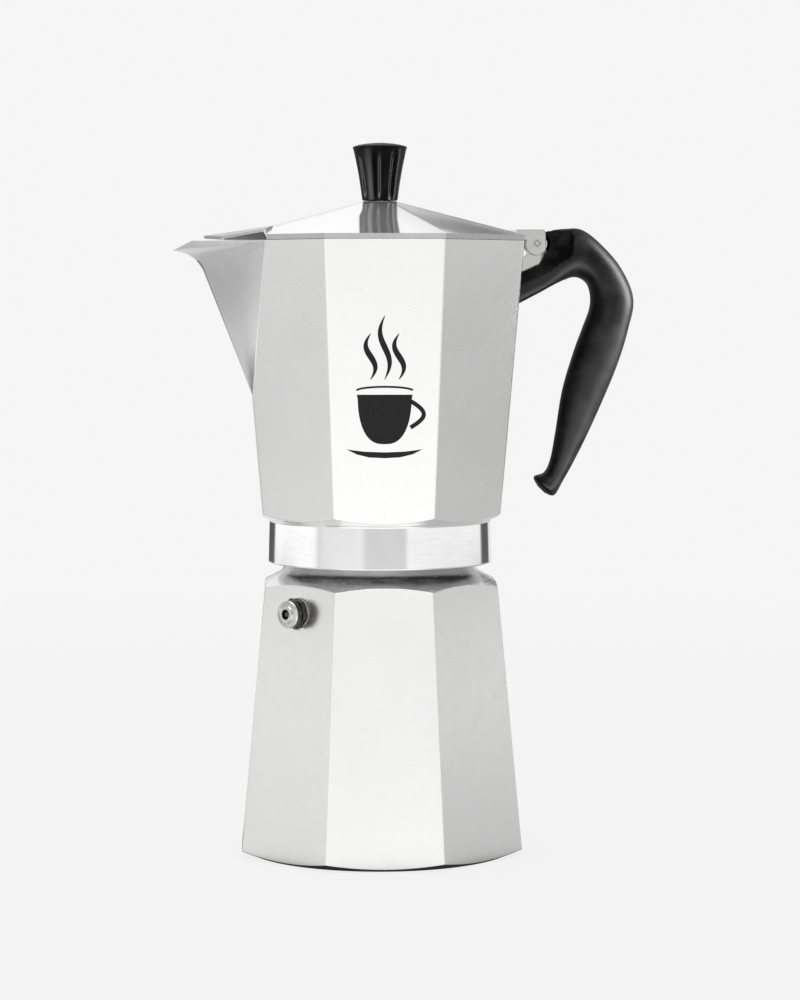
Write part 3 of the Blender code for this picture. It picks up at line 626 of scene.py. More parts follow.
def boiler_column(track):
    """Points from the middle of the base up the outside, over the neck and down to the inner floor."""
    def wall(z, inset=0.0):
        return octagon_point(boiler_corner_radius(z) - inset, *track)

    foot_z = meeting(0.0, 6.0, lambda z: cone(z, *FOOT_CONE) - wall(z).length)
    top_z = meeting(98.0, 111.8, lambda z: wall(z).length - cone(z, *SHOULDER_CONE))
    side = wall(top_z)
    angle = math.atan2(side.y, side.x)
    ring = around(angle)
    points = [ring(3, 0.9), ring(36.0, 0.9), ring(36.8, 0.0), ring(BASE_R, 0.0)]
    points += [(*wall(foot_z), foot_z)]
    points += [(*wall(z), z) for z in (11.0, 26.0, 48.0, 72.0, 90.0)]
    points += [(*side, top_z)]
    soft = {3: 0.4, 4: 0.25, 10: 0.2}
    points += [ring(46.4, 112.15), ring(44.0, 113.4), ring(41.6, 114.6), ring(40.3, 115.7),
               ring(39.4, 117.0), ring(NECK_R, 118.4)]
    for i in range(THREAD_ROWS):
        z = between(119.0, NECK_TOP_Z - 0.8, i / (THREAD_ROWS - 1))
        points.append(ring(NECK_R + thread_height(angle, z, THREAD_START_Z), z))
    points += [ring(NECK_R - 0.7, NECK_TOP_Z), ring(NECK_BORE_R + 0.6, NECK_TOP_Z),
               ring(NECK_BORE_R, NECK_TOP_Z - 0.6), ring(NECK_BORE_R, 114.0)]
    inset = BOILER_WALL / COS_HALF
    points += [(*wall(z, inset), z) for z in (100.0, 60.0, BOILER_FLOOR + 3)]
    points += [ring(44.0, BOILER_FLOOR), ring(3, BOILER_FLOOR)]
    return eased(points, soft)


def valve_matrix():
    """From the valve's own axis (+Z, measured from the pot's axis) to its place on the boiler."""
    turn = Matrix.Rotation(VALVE_DIRECTION, 4, "Z") @ Matrix.Rotation(math.radians(90), 4, "Y")
    return Matrix.Translation((0, 0, VALVE_Z)) @ turn


def make_boiler():
    """Eight flat satin sides, turned shoulder, threaded neck and a machined base."""
    columns = [boiler_column(track) for track in octagon_tracks()]
    rows = len(columns[0])
    satin_first, satin_last = 7, 19
    inside_first = rows - 6
    bands = [0 if satin_first <= k < satin_last else 2 if k >= inside_first else 1
             for k in range(rows)]
    boiler = mesh_object("boiler_casting", grid(columns, bands), [SATIN, MACHINED, INSIDE])
    combine(boiler, "DIFFERENCE", valve_tool("valve_seat_cut", disc(6.9, VALVE_SEAT, 60.0)),
            valve_tool("valve_hole_cut", disc(4.0, 35.0, 60.0)))
    place(bake(boiler), "boiler", "satin_aluminium", "boiler")


# ---------------------------------------------------------------- safety valve

def valve_piece(name, bm, finish, body, slot, width):
    """A piece on the valve's axis, bevelled if a width is given."""
    piece = mesh_object(name, bm, [finish], valve_matrix())
    if width:
        bake(bevel(piece, width))
    place(piece, body, slot, name.replace("_detail", ""))


def valve_tool(name, bm):
    return tool(name, bm, valve_matrix())


def hexagon_prism(corner_radius, low, high):
    corners = [around(math.radians(60 * i + 20)) for i in range(6)]
    return loft([[corner(corner_radius, z) for corner in corners] for z in (low, high)])


def make_valve():
    low, high = VALVE_BODY_LOW, VALVE_BODY_HIGH
    washer = [(4.1, VALVE_SEAT + GAP), (6.1, VALVE_SEAT + GAP), (6.1, low - GAP), (4.1, low - GAP)]
    valve_piece("valve_washer_detail", turned(washer), FIBRE, "boiler", "fibre_washer", 0.1)

    shank = [(0, 42.0), (3.7, 42.0), (3.7, low + 0.6), (5.0, low + 0.6), (5.0, low + 2.8),
             (VALVE_HEAD_R, low + 2.8), (VALVE_HEAD_R, high), (0, high)]
    body = mesh_object("valve_body_detail", turned(shank), [DARK_BRASS], valve_matrix())
    nut = valve_tool("valve_nut", hexagon_prism(6.4, low, low + 2.3))
    combine(nut, "INTERSECT", valve_tool("valve_nut_rounding", turned(
        [(0, low), (6.0, low), (6.4, low + 0.4), (6.4, low + 1.9), (5.9, low + 2.3), (0, low + 2.3)])))
    combine(body, "UNION", bake(nut))
    combine(body, "DIFFERENCE", valve_tool("valve_bore", disc(VALVE_BORE_R, 45.0, 60.0)),
            valve_tool("valve_inlet", disc(1.6, 40.0, 46.0)))
    place(bake(bevel(bake(body), 0.18)), "boiler", "dark_brass", "valve_body")

    low = high + GAP
    cap = [(2.0, low), (VALVE_HEAD_R, low), (VALVE_HEAD_R, low + 0.5), (5.2, low + 0.9),
           (3.7, low + 0.9), (3.5, low + 1.8), (2.0, low + 1.8)]
    valve_piece("valve_cap_detail", turned(cap), VALVE_RING, "boiler", "valve_ring", 0.14)
    plunger = [(0, 46.4), (2.4, 46.4), (2.4, 47.3), (1.2, 47.3), (1.2, 54.5), (0.8, 55.0), (0, 55.0)]
    # The plunger wears a dark colour: painted shade inside the cap's hole.
    valve_piece("valve_plunger_detail", turned(plunger), PLUNGER_PAINTED_SHADE, "plunger", "valve_brass", 0.1)
    seal = [(0, 45.3), (2.4, 45.3), (2.4, 46.1), (0, 46.1)]
    valve_piece("valve_seal_detail", turned(seal), SEAL, "plunger", "black_rubber", 0.15)

    turns, steps, coil_r, wire_r, sides = 4, 32, 1.9, 0.24, 10
    rings = []
    for i in range(turns * steps + 1):
        at, z = around(math.tau * i / steps), between(47.9, 51.9, i / (turns * steps))
        section = [math.tau * k / sides for k in range(sides)]
        rings.append([at(coil_r + wire_r * math.cos(a), z + wire_r * math.sin(a)) for a in section])
    valve_piece("valve_spring_detail", loft(rings), STEEL, "plunger", "steel", 0)


# ---------------------------------------------------------------- basket, gasket, filter

def make_funnel():
    cone_z = BASKET_BOTTOM_Z - 12.0
    flange = NECK_TOP_Z + GAP
    outline = [(STEM_R, STEM_END_Z), (STEM_R, cone_z), (STEM_R + 2, cone_z + 3),
               (BASKET_R - 4, BASKET_BOTTOM_Z - 2), (BASKET_R, BASKET_BOTTOM_Z + 2),
               (BASKET_R, flange), (BASKET_FLANGE_R, flange),
               (BASKET_FLANGE_R, flange + 1.0), (BASKET_R - SHEET, flange + 1.0),
               (BASKET_R - SHEET, BASKET_BOTTOM_Z + 2.4), (BASKET_R - 4.6, BASKET_BOTTOM_Z - 0.6),
               (STEM_R + 1.4, cone_z + 4.6), (STEM_R - SHEET, cone_z + 1),
               (STEM_R - SHEET, STEM_END_Z)]
    soft = {2: 1.0, 3: 2.0, 4: 2.0, 5: 0.3, 6: 0.35, 7: 0.35, 8: 0.8, 9: 1.5, 10: 1.5, 11: 1.5}
    funnel = mesh_object("funnel_detail", turned_soft(outline, soft), [PRESSED])
    place(funnel, "funnel", "pressed_aluminium", "funnel")


def perforated(name, radius, low, high, pitch, hole_r, body, node):
    """A disc with round holes on a triangular grid."""
    plate = mesh_object(name, disc(radius, low, high, 96), [PRESSED])
    cutters = bmesh.new()
    reach = int(radius / pitch) + 1
    for i in range(-reach, reach + 1):
        for j in range(-reach, reach + 1):
            x, y = pitch * (i + j / 2), pitch * j * math.sqrt(0.75)
            if pitch / 2 < math.hypot(x, y) < radius - 3.0:
                bmesh.ops.create_cone(cutters, cap_ends=True, segments=12, radius1=hole_r,
                                      radius2=hole_r, depth=6.0,
                                      matrix=Matrix.Translation((x, y, (low + high) / 2)))
    combine(plate, "DIFFERENCE", tool(name + "_holes", cutters))
    place(bake(plate), body, "pressed_aluminium", node)


def make_gasket():
    low, high = NECK_TOP_Z + GAP + 1.0 + GAP, CEILING_Z - 0.8 - 2 * GAP - 0.1
    outline = [(35.0, low), (41.0, low), (41.0, high), (35.0, high)]
    gasket = mesh_object("gasket_detail", turned_soft(outline, {0: 0.5, 1: 0.7, 2: 0.7, 3: 0.5}),
                         [GASKET])
    place(gasket, "seal", "gasket_rubber", "gasket")


# ---------------------------------------------------------------- upper vessel

WALL_STEPS = 20
SIDE_STEPS = 40
TIP_STEPS = 12
SPOUT_INDEX = 3                # the octagon's corner before the spout; its other one is the next
BEND_START_Z = 235.9           # where the lip's bend starts on the keel
LIP_FROM_Z = 233.0             # rows of points are close together from here to the rim
LIP_ROWS = 48
KEEL_BLUNT = (1.6, 4.6)        # how far the keel's rounding reaches up the sides, below and at the lip


def vessel_corner_radius(z):
    return between(VESSEL_BASE_R, RIM_R, (z - VESSEL_BASE_Z) / (RIM_Z - VESSEL_BASE_Z))


def straight_keel(z):
    start = vessel_corner_radius(SPOUT_START_Z) * COS_HALF
    return start + KEEL_SLOPE * (z - SPOUT_START_Z)


def lip_reach(z):
    """How much further than its straight keel the spout runs out in its bend and lip."""
    slope_angle = math.atan(1 / KEEL_SLOPE)
    tangent = LIP_BEND_R * math.tan(slope_angle / 2)
    corner_x = straight_keel(LIP_UNDERSIDE_Z)
    centre_x, centre_z = corner_x + tangent, LIP_UNDERSIDE_Z - LIP_BEND_R
    if z >= LIP_UNDERSIDE_Z:
        return centre_x + LIP_FLARE * (z - LIP_UNDERSIDE_Z) - straight_keel(z)
    if z > LIP_UNDERSIDE_Z - tangent * math.sin(slope_angle):
        return centre_x - math.sqrt(LIP_BEND_R ** 2 - (z - centre_z) ** 2) - straight_keel(z)
    return 0.0


def spout_corner(z):
    """Where the spout's side meets the octagon's face, on a straight line from corner to rim."""
    low = octagon(vessel_corner_radius(SPOUT_START_Z))[3]
    rim = octagon(RIM_R)
    high = [between(rim[3][i], rim[2][i], SPOUT_SHARE) for i in (0, 1)]
    share = (min(z, RIM_Z) - SPOUT_START_Z) / (RIM_Z - SPOUT_START_Z)
    return [between(low[i], high[i], share) for i in (0, 1)]


def spout_side(z, share, wall, lift):
    """A point of the spout's side from its corner (0) to the keel (1), for y above zero.

    The lip's bend starts on a crease that runs from the rim's corner down to the keel.
    """
    radius = vessel_corner_radius(min(z, RIM_Z))
    if z <= SPOUT_START_Z:
        corner = Vector(octagon(radius)[3])
        keel = -corner.x
    else:
        corner = Vector(spout_corner(z))
        keel = straight_keel(min(z, RIM_Z) - lift)
    half_angle = math.atan2(corner.y, keel + corner.x)
    side = Vector((corner.x + keel, corner.y)).normalized()
    tip = Vector((-keel + wall / math.sin(half_angle), 0))
    face_normal = Vector((-math.sqrt(0.5), math.sqrt(0.5)))
    reach = (radius * COS_HALF - wall - tip.dot(face_normal)) / side.dot(face_normal)
    point = tip + side * reach * (1 - share)
    bend_z = between(RIM_Z - 1.5, BEND_START_Z, share ** 0.8)
    if z > bend_z:
        height = min(z, RIM_Z + 2) - lift
        risen = BEND_START_Z + (height - bend_z) * (RIM_Z - BEND_START_Z) / (RIM_Z - bend_z)
        point.x -= share * max(0.0, lip_reach(min(risen, RIM_Z)))
    return point


def vessel_tracks():
    """Every (kind, index, share) round the vessel: edges, corners, spout sides and tip."""
    def run(kind, index, steps):
        return [(kind, index, i / steps) for i in range(steps)]

    tracks = []
    for index in range(8):
        tracks += run("corner", index, CORNER_STEPS)
        if index == SPOUT_INDEX:
            tracks += run("side", 1, SIDE_STEPS) + run("tip", 0, TIP_STEPS)
            tracks += [("side", -1, 1 - share) for _, _, share in run("side", -1, SIDE_STEPS)]
        else:
            tracks += run("edge", index, WALL_STEPS)
    return tracks


def vessel_point(track, z, wall=0.0, lift=0.0):
    """A point of the vessel's outline at height z, moved inwards by a wall."""
    kind, index, share = track
    radius = vessel_corner_radius(min(z, RIM_Z)) - wall / COS_HALF
    eight = [Vector(p) for p in octagon(radius)]
    meet = spout_side(z, 0.0, wall, lift)
    ring = eight[:3] + [meet, Vector((meet.x, -meet.y))] + eight[5:]
    tip = spout_side(z, 1.0, wall, lift)
    side_length = (tip - meet).length
    blunt = between(*KEEL_BLUNT, clamp((z - 236) / 14))

    def on_side(s, sign):
        point = spout_side(z, s, wall, lift)
        return Vector((point.x, sign * point.y))

    if kind == "tip":
        near = on_side(1 - blunt / side_length, 1)
        far = Vector((near.x, -near.y))
        return bezier(near, tip, far, share)
    if kind == "side":
        trimmed = between(EDGE_R / side_length, 1 - blunt / side_length, share)
        return on_side(trimmed, index)
    here, after, before = ring[index], ring[(index + 1) % 8], ring[index - 1]
    if index == SPOUT_INDEX:
        after = on_side(0.3, 1)
    if index == SPOUT_INDEX + 1:
        before = on_side(0.3, -1)
    forward = (after - here).normalized() * EDGE_R
    if kind == "corner":
        return bezier(here + (before - here).normalized() * EDGE_R, here, here + forward, share)
    return (here + forward).lerp(after - forward, share)


def lip_cut_z(x):
    return min(RIM_Z, LIP_CUT_Z + LIP_CUT_SLOPE * (-x - LIP_CUT_X))


def vessel_column(track):
    """One closed track: collar, chamfer, wall, rim, inner wall, floor, ceiling and threaded bore."""
    def outside(z):
        return vessel_point(track, z)

    def inside(z):
        wall = between(VESSEL_WALL, RIM_WALL, clamp((z - 230) / 16))
        return vessel_point(track, z, wall, 1.1 * ease((z - 226) / 8))

    def top(path):
        return meeting(225.0, RIM_Z + 0.01, lambda z: z - lip_cut_z(path(z).x))

    base_z = meeting(136.5, 141.0, lambda z: cone(z, *UNDER_CONE) - outside(z).length)
    base = outside(base_z)
    angle = math.atan2(base.y, base.x)
    ring = around(angle)
    points = [ring(COLLAR_R, COLLAR_BOTTOM_Z), ring(COLLAR_TOP_R, COLLAR_TOP_Z), (*base, base_z)]
    low = [144.0, 152.0, 162.0, 175.0, SPOUT_START_Z - 1, SPOUT_START_Z + 0.5, 193.0, 200.0, 207.0,
           214.0, 221.0, 227.0, 231.0]
    points += [(*outside(z), z) for z in low]
    top_out, top_in = top(outside), top(inside)
    rows_up = [between(LIP_FROM_Z, top_out, i / LIP_ROWS) for i in range(LIP_ROWS)]
    rows_down = [between(top_in, LIP_FROM_Z, (i + 1) / LIP_ROWS) for i in range(LIP_ROWS)]
    points += [(*outside(z), z) for z in rows_up]
    rim_index = len(points)
    points += [(*outside(top_out), top_out), (*inside(top_in), top_in)]
    points += [(*inside(z), z) for z in rows_down + low[-2::-1]]
    floor_index = len(points)
    points += [(*inside(FLOOR_Z), FLOOR_Z), ring(30, FLOOR_Z), ring(COLUMN_HOLE_R, FLOOR_Z),
               ring(COLUMN_HOLE_R, 141.0), ring(34.0, CEILING_Z), ring(COLLAR_BORE_R, CEILING_Z)]
    for i in range(BORE_THREAD_ROWS):
        z = between(136.0, COLLAR_BOTTOM_Z + 0.7, i / (BORE_THREAD_ROWS - 1))
        inward = 1.05 * thread_height(angle, z, THREAD_START_Z + THREAD_PITCH / 2)
        points.append(ring(COLLAR_BORE_R - inward, z))
    points.append(ring(COLLAR_BORE_R + 0.6, COLLAR_BOTTOM_Z))
    soft = {0: 0.7, 1: 0.7, 2: 0.5, rim_index: 0.55, rim_index + 1: 0.4, floor_index: 2.5}
    return eased(points, soft)


def vessel_bands(tracks, rows):
    """Polished collar, satin walls, brighter spout, its keel painted dark as a painted dark reflection,
    bare inside, machined bore; per column and row.
    """
    collar_rows, keel_first, keel_last, wall_rows, inner_rows = 8, 16, 58, 76, 147
    bands = []
    for kind, _, _ in tracks:
        wall = {"side": 1, "tip": 5}.get(kind, 0)
        bands.append([2 if k < collar_rows else wall if k < wall_rows else
                      3 if k < inner_rows else 4 for k in range(rows)])
        if kind == "tip":
            bands[-1][collar_rows:keel_first] = [0] * (keel_first - collar_rows)
            bands[-1][keel_last:wall_rows] = [1] * (wall_rows - keel_last)
    return bands


def make_vessel():
    tracks = vessel_tracks()
    columns = [vessel_column(track) for track in tracks]
    rows = len(columns[0])
    bm = grid(columns, closed=True)
    bands = vessel_bands(tracks, rows)
    bm.faces.ensure_lookup_table()
    for i, band in enumerate(bands):
        for k in range(rows):
            bm.faces[i * rows + k].material_index = band[k]
    vessel = mesh_object("vessel_casting", bm, [SATIN, SPOUT_SATIN, POLISHED, INSIDE, MACHINED, KEEL_PAINTED_SHADE])
    place(vessel, "upper", "polished_aluminium", "upper_body")


def plate(name, outline, half_width, finish, width=0.35):
    """A bevelled (x, z) outline, as thick as twice half_width."""
    return bake(bevel(mesh_object(name, prism(outline, half_width), [finish]), width, 3))


def pin_hole(name):
    return tool(name, disc(PIN_R + 0.2, -8, 8), along_y(PIN_X, PIN_Z))


def make_hinge_lug():
    """Cast lug under the hinge, the middle knuckle and the tang in the handle."""
    under_pin = arc((PIN_X, PIN_Z), EAR_R + 0.4, -68, -128, 16)
    lug = [(55.4, 236.9), (57.7, 237.7), (64.9, 240.8), (65.5, 242.3)] + under_pin + [
        (59.4, 244.0), (55.4, 243.4)]
    place(plate("hinge_lug", lug, EAR_OUTER_Y, EAR_SATIN), "upper", "polished_aluminium")
    knuckle = [(60.4, 242.0), (66.0, 242.0)] + arc((PIN_X, PIN_Z), 4.1, -40, 195, 40)
    tongue = mesh_object("hinge_knuckle", prism(knuckle, TONGUE_Y), [SATIN])
    combine(tongue, "DIFFERENCE", pin_hole("knuckle_hole"))
    place(bake(tongue), "upper", "polished_aluminium")
    tang = [(62.5, 240.2), (66.0, 239.4), (80.0, 240.6), (80.0, 246.0), (66.0, 246.0), (62.5, 243.6)]
    flat = mesh_object("handle_tang", prism(tang, TONGUE_Y - 0.2), [INSIDE])
    hole = tool("tang_hole", disc(1.8, 236, 250), Matrix.Translation((HANDLE_SCREW_X, 0, 0)))
    combine(flat, "DIFFERENCE", hole)
    place(bake(flat), "upper", "polished_aluminium")


def make_column():
    base = FLOOR_Z + GAP
    outline = [(COLUMN_SPIGOT_R, 141.4), (COLUMN_SPIGOT_R, base), (15.0, base), (15.0, base + 1.5),
               (9.5, base + 7), (8.0, base + 14), (6.6, COLUMN_TOP_Z - 6), (5.6, COLUMN_TOP_Z - 1.6),
               (3.2, COLUMN_TOP_Z), (0, COLUMN_TOP_Z), (0, COLUMN_TOP_Z - 2.2),
               (4.4, COLUMN_TOP_Z - 3.4), (5.2, 150.0), (5.2, 141.4)]
    soft = {2: 0.4, 3: 0.6, 4: 3.0, 5: 4.0, 6: 3.0, 7: 1.5, 8: 1.2}
    column = mesh_object("column_detail", turned_soft(outline, soft), [INSIDE])
    slot = tool("column_slot", box((-2.6, -12, COLUMN_TOP_Z - 12), (2.6, 12, COLUMN_TOP_Z - 5)))
    combine(column, "DIFFERENCE", slot)
    place(bake(column), "upper", "satin_aluminium", "column")


# ---------------------------------------------------------------- handle

def smooth(a, b, c, d, t):
    """Catmull-Rom between b and c."""
    return 0.5 * (2 * b + (c - a) * t + (2 * a - 5 * b + 4 * c - d) * t ** 2
                  + (3 * b - a - 3 * c + d) * t ** 3)


def handle_stations(steps=12):
    """The handle's sections, smoothly filled in between."""
    rows = [HANDLE_SECTIONS[0]] + list(HANDLE_SECTIONS) + [HANDLE_SECTIONS[-1]]
    stations = []
    for i in range(len(HANDLE_SECTIONS) - 1):
        for step in range(steps):
            t = step / steps
            stations.append([smooth(*(row[k] for row in rows[i:i + 4]), t) for k in range(5)])
    stations.append(list(HANDLE_SECTIONS[-1]))
    return stations


def cheek_depth(x, z):
    """How far (x, z) lies inside the handle's sunk cheek beside the hinge; below zero outside."""
    across = 78.3 - x
    above = z - (237.6 + 0.286 * (x - 57.3))
    blend = max(0.0, 4.0 - abs(across - above)) / 4.0
    return min(across, above) - blend * blend


def handle_ring(station, scale=1.0, sides=64):
    """A rounded section: squarer beside the hinge, smaller where the tip is rounded off."""
    inner_x, inner_z, outer_x, outer_z, width = station
    squareness = between(0.27, 0.8, ease((outer_x - 70.0) / 14)) if inner_z > 222 else 0.8
    centre = Vector(((inner_x + outer_x) / 2, (inner_z + outer_z) / 2))
    depth = Vector((outer_x - inner_x, outer_z - inner_z)) / 2
    ring = []
    for i in range(sides):
        angle = math.tau * (i + 0.5) / sides
        c, s = math.cos(angle), math.sin(angle)
        c = math.copysign(abs(c) ** squareness, c)
        s = math.copysign(abs(s) ** squareness, s)
        point = centre + depth * c * scale
        y = width * s * scale
        sunk = ease((cheek_depth(point.x, point.y) + 0.4) / 1.0)
        if abs(y) > 7.5:
            y = math.copysign(between(abs(y), 7.5, sunk), y)
        ring.append((min(point.x, HANDLE_END_X), y, point.y))
    return ring


def handle_cutters():
    """The cuts for wall, lug, lid ears, tang and screw."""
    wall = [(vessel_corner_radius(z) * COS_HALF + GAP, z) for z in (215, 262)]
    beside_lug = [(50, 237.3), (57.8, 237.3), (65.2, 240.5), (65.9, 242.1), (66.4, 243.4)]
    cheek = beside_lug + arc((PIN_X, PIN_Z), 5.2, -60, 45, 24) + [(67.9, 262), (50, 262)]
    pocket = beside_lug + arc((PIN_X, PIN_Z), EAR_SWEEP_R, -58, 12, 20)
    pocket += [(NOTCH_X + 0.5, 262), (50, 262)]
    socket = [(60, 239.0), (80.4, 240.2), (80.4, 246.4), (60, 246.4)]
    sink = [(0, 226), (4.0, 226), (4.0, 235.6), (1.9, 237.4), (1.9, 242), (0, 242)]
    return [tool("handle_wall_cut", prism([(30, 215)] + wall + [(30, 262)], 20)),
            tool("handle_cheek_cut", prism(cheek, 14)),
            tool("handle_pocket", prism(pocket, EAR_OUTER_Y + 0.5)),
            tool("tang_socket", prism(socket, TONGUE_Y + 0.2)),
            tool("screw_sink", turned(sink, 48), Matrix.Translation((HANDLE_SCREW_X, 0, 0)))]


def make_handle():
    """The moulded handle, with a domed lower end and sunk cheeks beside the hinge."""
    dome_rings, dome_length, dome_least, power = 12, 2.3, 0.45, 2.4
    stations, end = handle_stations(), HANDLE_SECTIONS[-1]
    rings = [handle_ring(station) for station in stations[:-dome_rings]]
    for station in stations[-dome_rings:]:
        left = math.hypot(station[0] - end[0], station[1] - end[1]) / dome_length
        rings.append(handle_ring(station, max(dome_least, (1 - clamp(1 - left) ** power) ** (1 / power))))
    handle = mesh_object("handle_moulding", loft(rings), [PHENOLIC, PHENOLIC_RECESS_PAINTED_SHADE])
    # Faces in the sunk cheeks get the darker phenolic: painted shade in the recess.
    for face in handle.data.polygons:
        middle = face.center / MM
        if cheek_depth(middle.x, middle.z) > 0 and middle.z < 254.2:
            face.material_index = 1
    bake(combine(handle, "DIFFERENCE", *handle_cutters()))
    place(bake(bevel(handle, 0.25, 2, 40)), "upper", "black_phenolic", "handle")


def make_hinge_pin():
    """Pin peened flush with the ears, with a square line on its corner cut into each end."""
    half = EAR_OUTER_Y + 0.02
    shaft = [(0, -half), (1.66, -half), (1.66, -half + 0.4), (PIN_R, -half + 0.8),
             (PIN_R, half - 0.8), (1.66, half - 0.4), (1.66, half), (0, half)]
    pin = mesh_object("hinge_pin_shaft", turned(shaft, 48), [EAR_SATIN], along_y(PIN_X, PIN_Z))
    for side in (-1, 1):
        for operation, size, low, high in (("DIFFERENCE", 1.5, -0.35, 0.3), ("UNION", 1.1, -0.62, 0.03)):
            rings = [[(PIN_X + u * size, side * (half + out), PIN_Z + w * size)
                      for u, w in ((1, 0), (0, 1), (-1, 0), (0, -1))] for out in (low, high)]
            combine(pin, operation, tool("pin_%s_%d" % (operation.lower(), side), loft(rings)))
    bake(pin)
    # The cut lines' floors are coloured dark: painted shade in the grooves.
    pin.data.materials.append(SHADED)
    for face in pin.data.polygons:
        middle = face.center / MM
        reach = abs(middle.x - PIN_X) + abs(middle.z - PIN_Z)
        if reach < 1.55 and half - 0.5 < abs(middle.y) < half - 0.05:
            face.material_index = 1
    place(pin, "upper", "steel", "hinge_pin")


# ---------------------------------------------------------------- lid

def lid_places():
    """Named corners of the lid's outer surface."""
    rim, seat = octagon(RIM_R), octagon(STEM_PLATE_R)
    slope = (PYRAMID_TOP_Z - SKIRT_TOP_Z) / (rim[0][0] - seat[0][0])
    corner = [between(rim[3][i], rim[2][i], SPOUT_SHARE) for i in (0, 1)]
    hip_x = 43.65
    hip_z = SKIRT_TOP_Z + slope * (rim[0][0] - hip_x)
    ridge_z = SKIRT_TOP_Z + slope * (rim[0][0] - RIDGE_START_X)
    places = {"ridge": (-RIDGE_START_X, 0, ridge_z), "tip": (-BEAK_TIP_X, 0, 252.2)}
    for k in (0, 1, 2, 5, 6, 7):
        places["rim%d" % k] = (*rim[k], SKIRT_TOP_Z)
        places["foot%d" % k] = (*rim[k], SKIRT_BOTTOM_Z - 0.2)
    for k in range(8):
        places["seat%d" % k] = (*seat[k], PYRAMID_TOP_Z)
    for side, y in (("L", 1), ("R", -1)):
        places["rim" + side] = (corner[0], y * corner[1], SKIRT_TOP_Z)
        places["foot" + side] = (corner[0], y * corner[1], SKIRT_BOTTOM_Z - 0.2)
        places["hip" + side] = (-hip_x, y * hip_x * math.tan(HALF_SECTOR), hip_z)
        places["eave" + side] = (corner[0] - 0.4, y * (corner[1] - 0.5), 254.4)
        places["cheek" + side] = (-64.7, y * 7.5, 251.9)
    return places


def lid_surface():
    """The lid's outer surface: facets, skirt and the beak's gable."""
    faces = [("rimL", "hipL", "seat3", "seat2", "rim2"), ("rim5", "seat5", "seat4", "hipR", "rimR"),
             ("hipL", "ridge", "hipR", "seat4", "seat3"),
             ("eaveL", "cheekL", "tip", "ridge"), ("ridge", "tip", "cheekR", "eaveR"),
             ("rimL", "eaveL", "ridge", "hipL"), ("ridge", "eaveR", "rimR", "hipR"),
             tuple("seat%d" % k for k in range(8))]
    for a, b in ((7, 0), (0, 1), (1, 2), (5, 6), (6, 7)):
        faces.append(("rim%d" % a, "rim%d" % b, "seat%d" % b, "seat%d" % a))
    for a, b in (("7", "0"), ("0", "1"), ("1", "2"), ("2", "L"), ("R", "5"), ("5", "6"), ("6", "7")):
        faces.append(("foot" + a, "foot" + b, "rim" + b, "rim" + a))
    bm = bmesh.new()
    verts = {name: bm.verts.new(place) for name, place in lid_places().items()}
    for names in faces:
        bm.faces.new([verts[name] for name in names])
    return bm


def make_beak_web():
    """A web under the beak's ridge, inside the spout: a sheet put there for the dark wedge of shade seen
    between the eave and the spout's rim.
    """
    web = [(-45.5, 250.5), (-45.5, 254.6), (-63.5, 252.2), (-63.5, 250.5)]
    place(mesh_object("beak_web", prism(web, 1.2), [INSIDE]), "lid", "polished_aluminium")


def make_lid():
    """Faceted plate with a rolled skirt, knob seat, hinge arm and forked ears."""
    lid = mesh_object("lid_casting", lid_surface(), [LID_POLISH])
    shell = lid.modifiers.new("plate", "SOLIDIFY")
    shell.thickness = LID_PLATE * MM
    shell.offset = -1
    shell.use_even_offset = True
    bake(lid)
    seat = [[(x, y, z) for x, y in octagon(r)] for r, z in ((7.4, 265.4), (7.4, 266.05),
                                                            (6.87, KNOB_SEAT_Z))]
    root = [(49.0, 253.4), (56.0, 250.7), (57.5, 250.7), (57.5, ARM_TOP_Z), (49.0, ARM_TOP_Z)]
    ear = [(min(x, EAR_END_X), z) for x, z in arc((PIN_X, PIN_Z), EAR_R, 165, 360, 48)]
    ears = [(55.0, 251.5), (59.3, 250.7)] + ear + [(EAR_END_X, 253.3), (66.8, 254.5), (66.2, 254.8),
                                                   (55.0, 254.8)]
    arm = tool("hinge_ears", prism(ears, EAR_OUTER_Y))
    bevel(arm, 0.5, 2, 50)
    combine(lid, "UNION", tool("knob_seat", loft(seat)), tool("hinge_root", prism(root, 4.4)), arm)
    fork = [(58.9, 243), (74, 243), (74, 256), (58.9, 256)]
    combine(lid, "DIFFERENCE", tool("hinge_fork", prism(fork, EAR_INNER_Y)),
            pin_hole("ear_pin_hole"),
            tool("knob_screw_hole", disc(2.0, 255, 270)))
    bake(lid)
    bevel(lid, 0.25, 2, 12)
    bake(lid)
    for finish in (EAR_SATIN, SKIRT):
        lid.data.materials.append(finish)
    for face in lid.data.polygons:
        middle = face.center / MM
        if middle.x > 58.5:
            face.material_index = 1
        elif middle.z < SKIRT_TOP_Z - 0.15 and abs(face.normal.z) < 0.3:
            face.material_index = 2
    place(lid, "lid", "polished_aluminium", "lid")


# ---------------------------------------------------------------- knob

def knob_radius(z):
    """A slightly hollow taper from foot to rim."""
    share = (z - KNOB_BOTTOM_Z) / (KNOB_RIM_Z - KNOB_BOTTOM_Z)
    return between(KNOB_FOOT_R, KNOB_RIM_R, 0.72 * share + 0.28 * share ** 2.5)


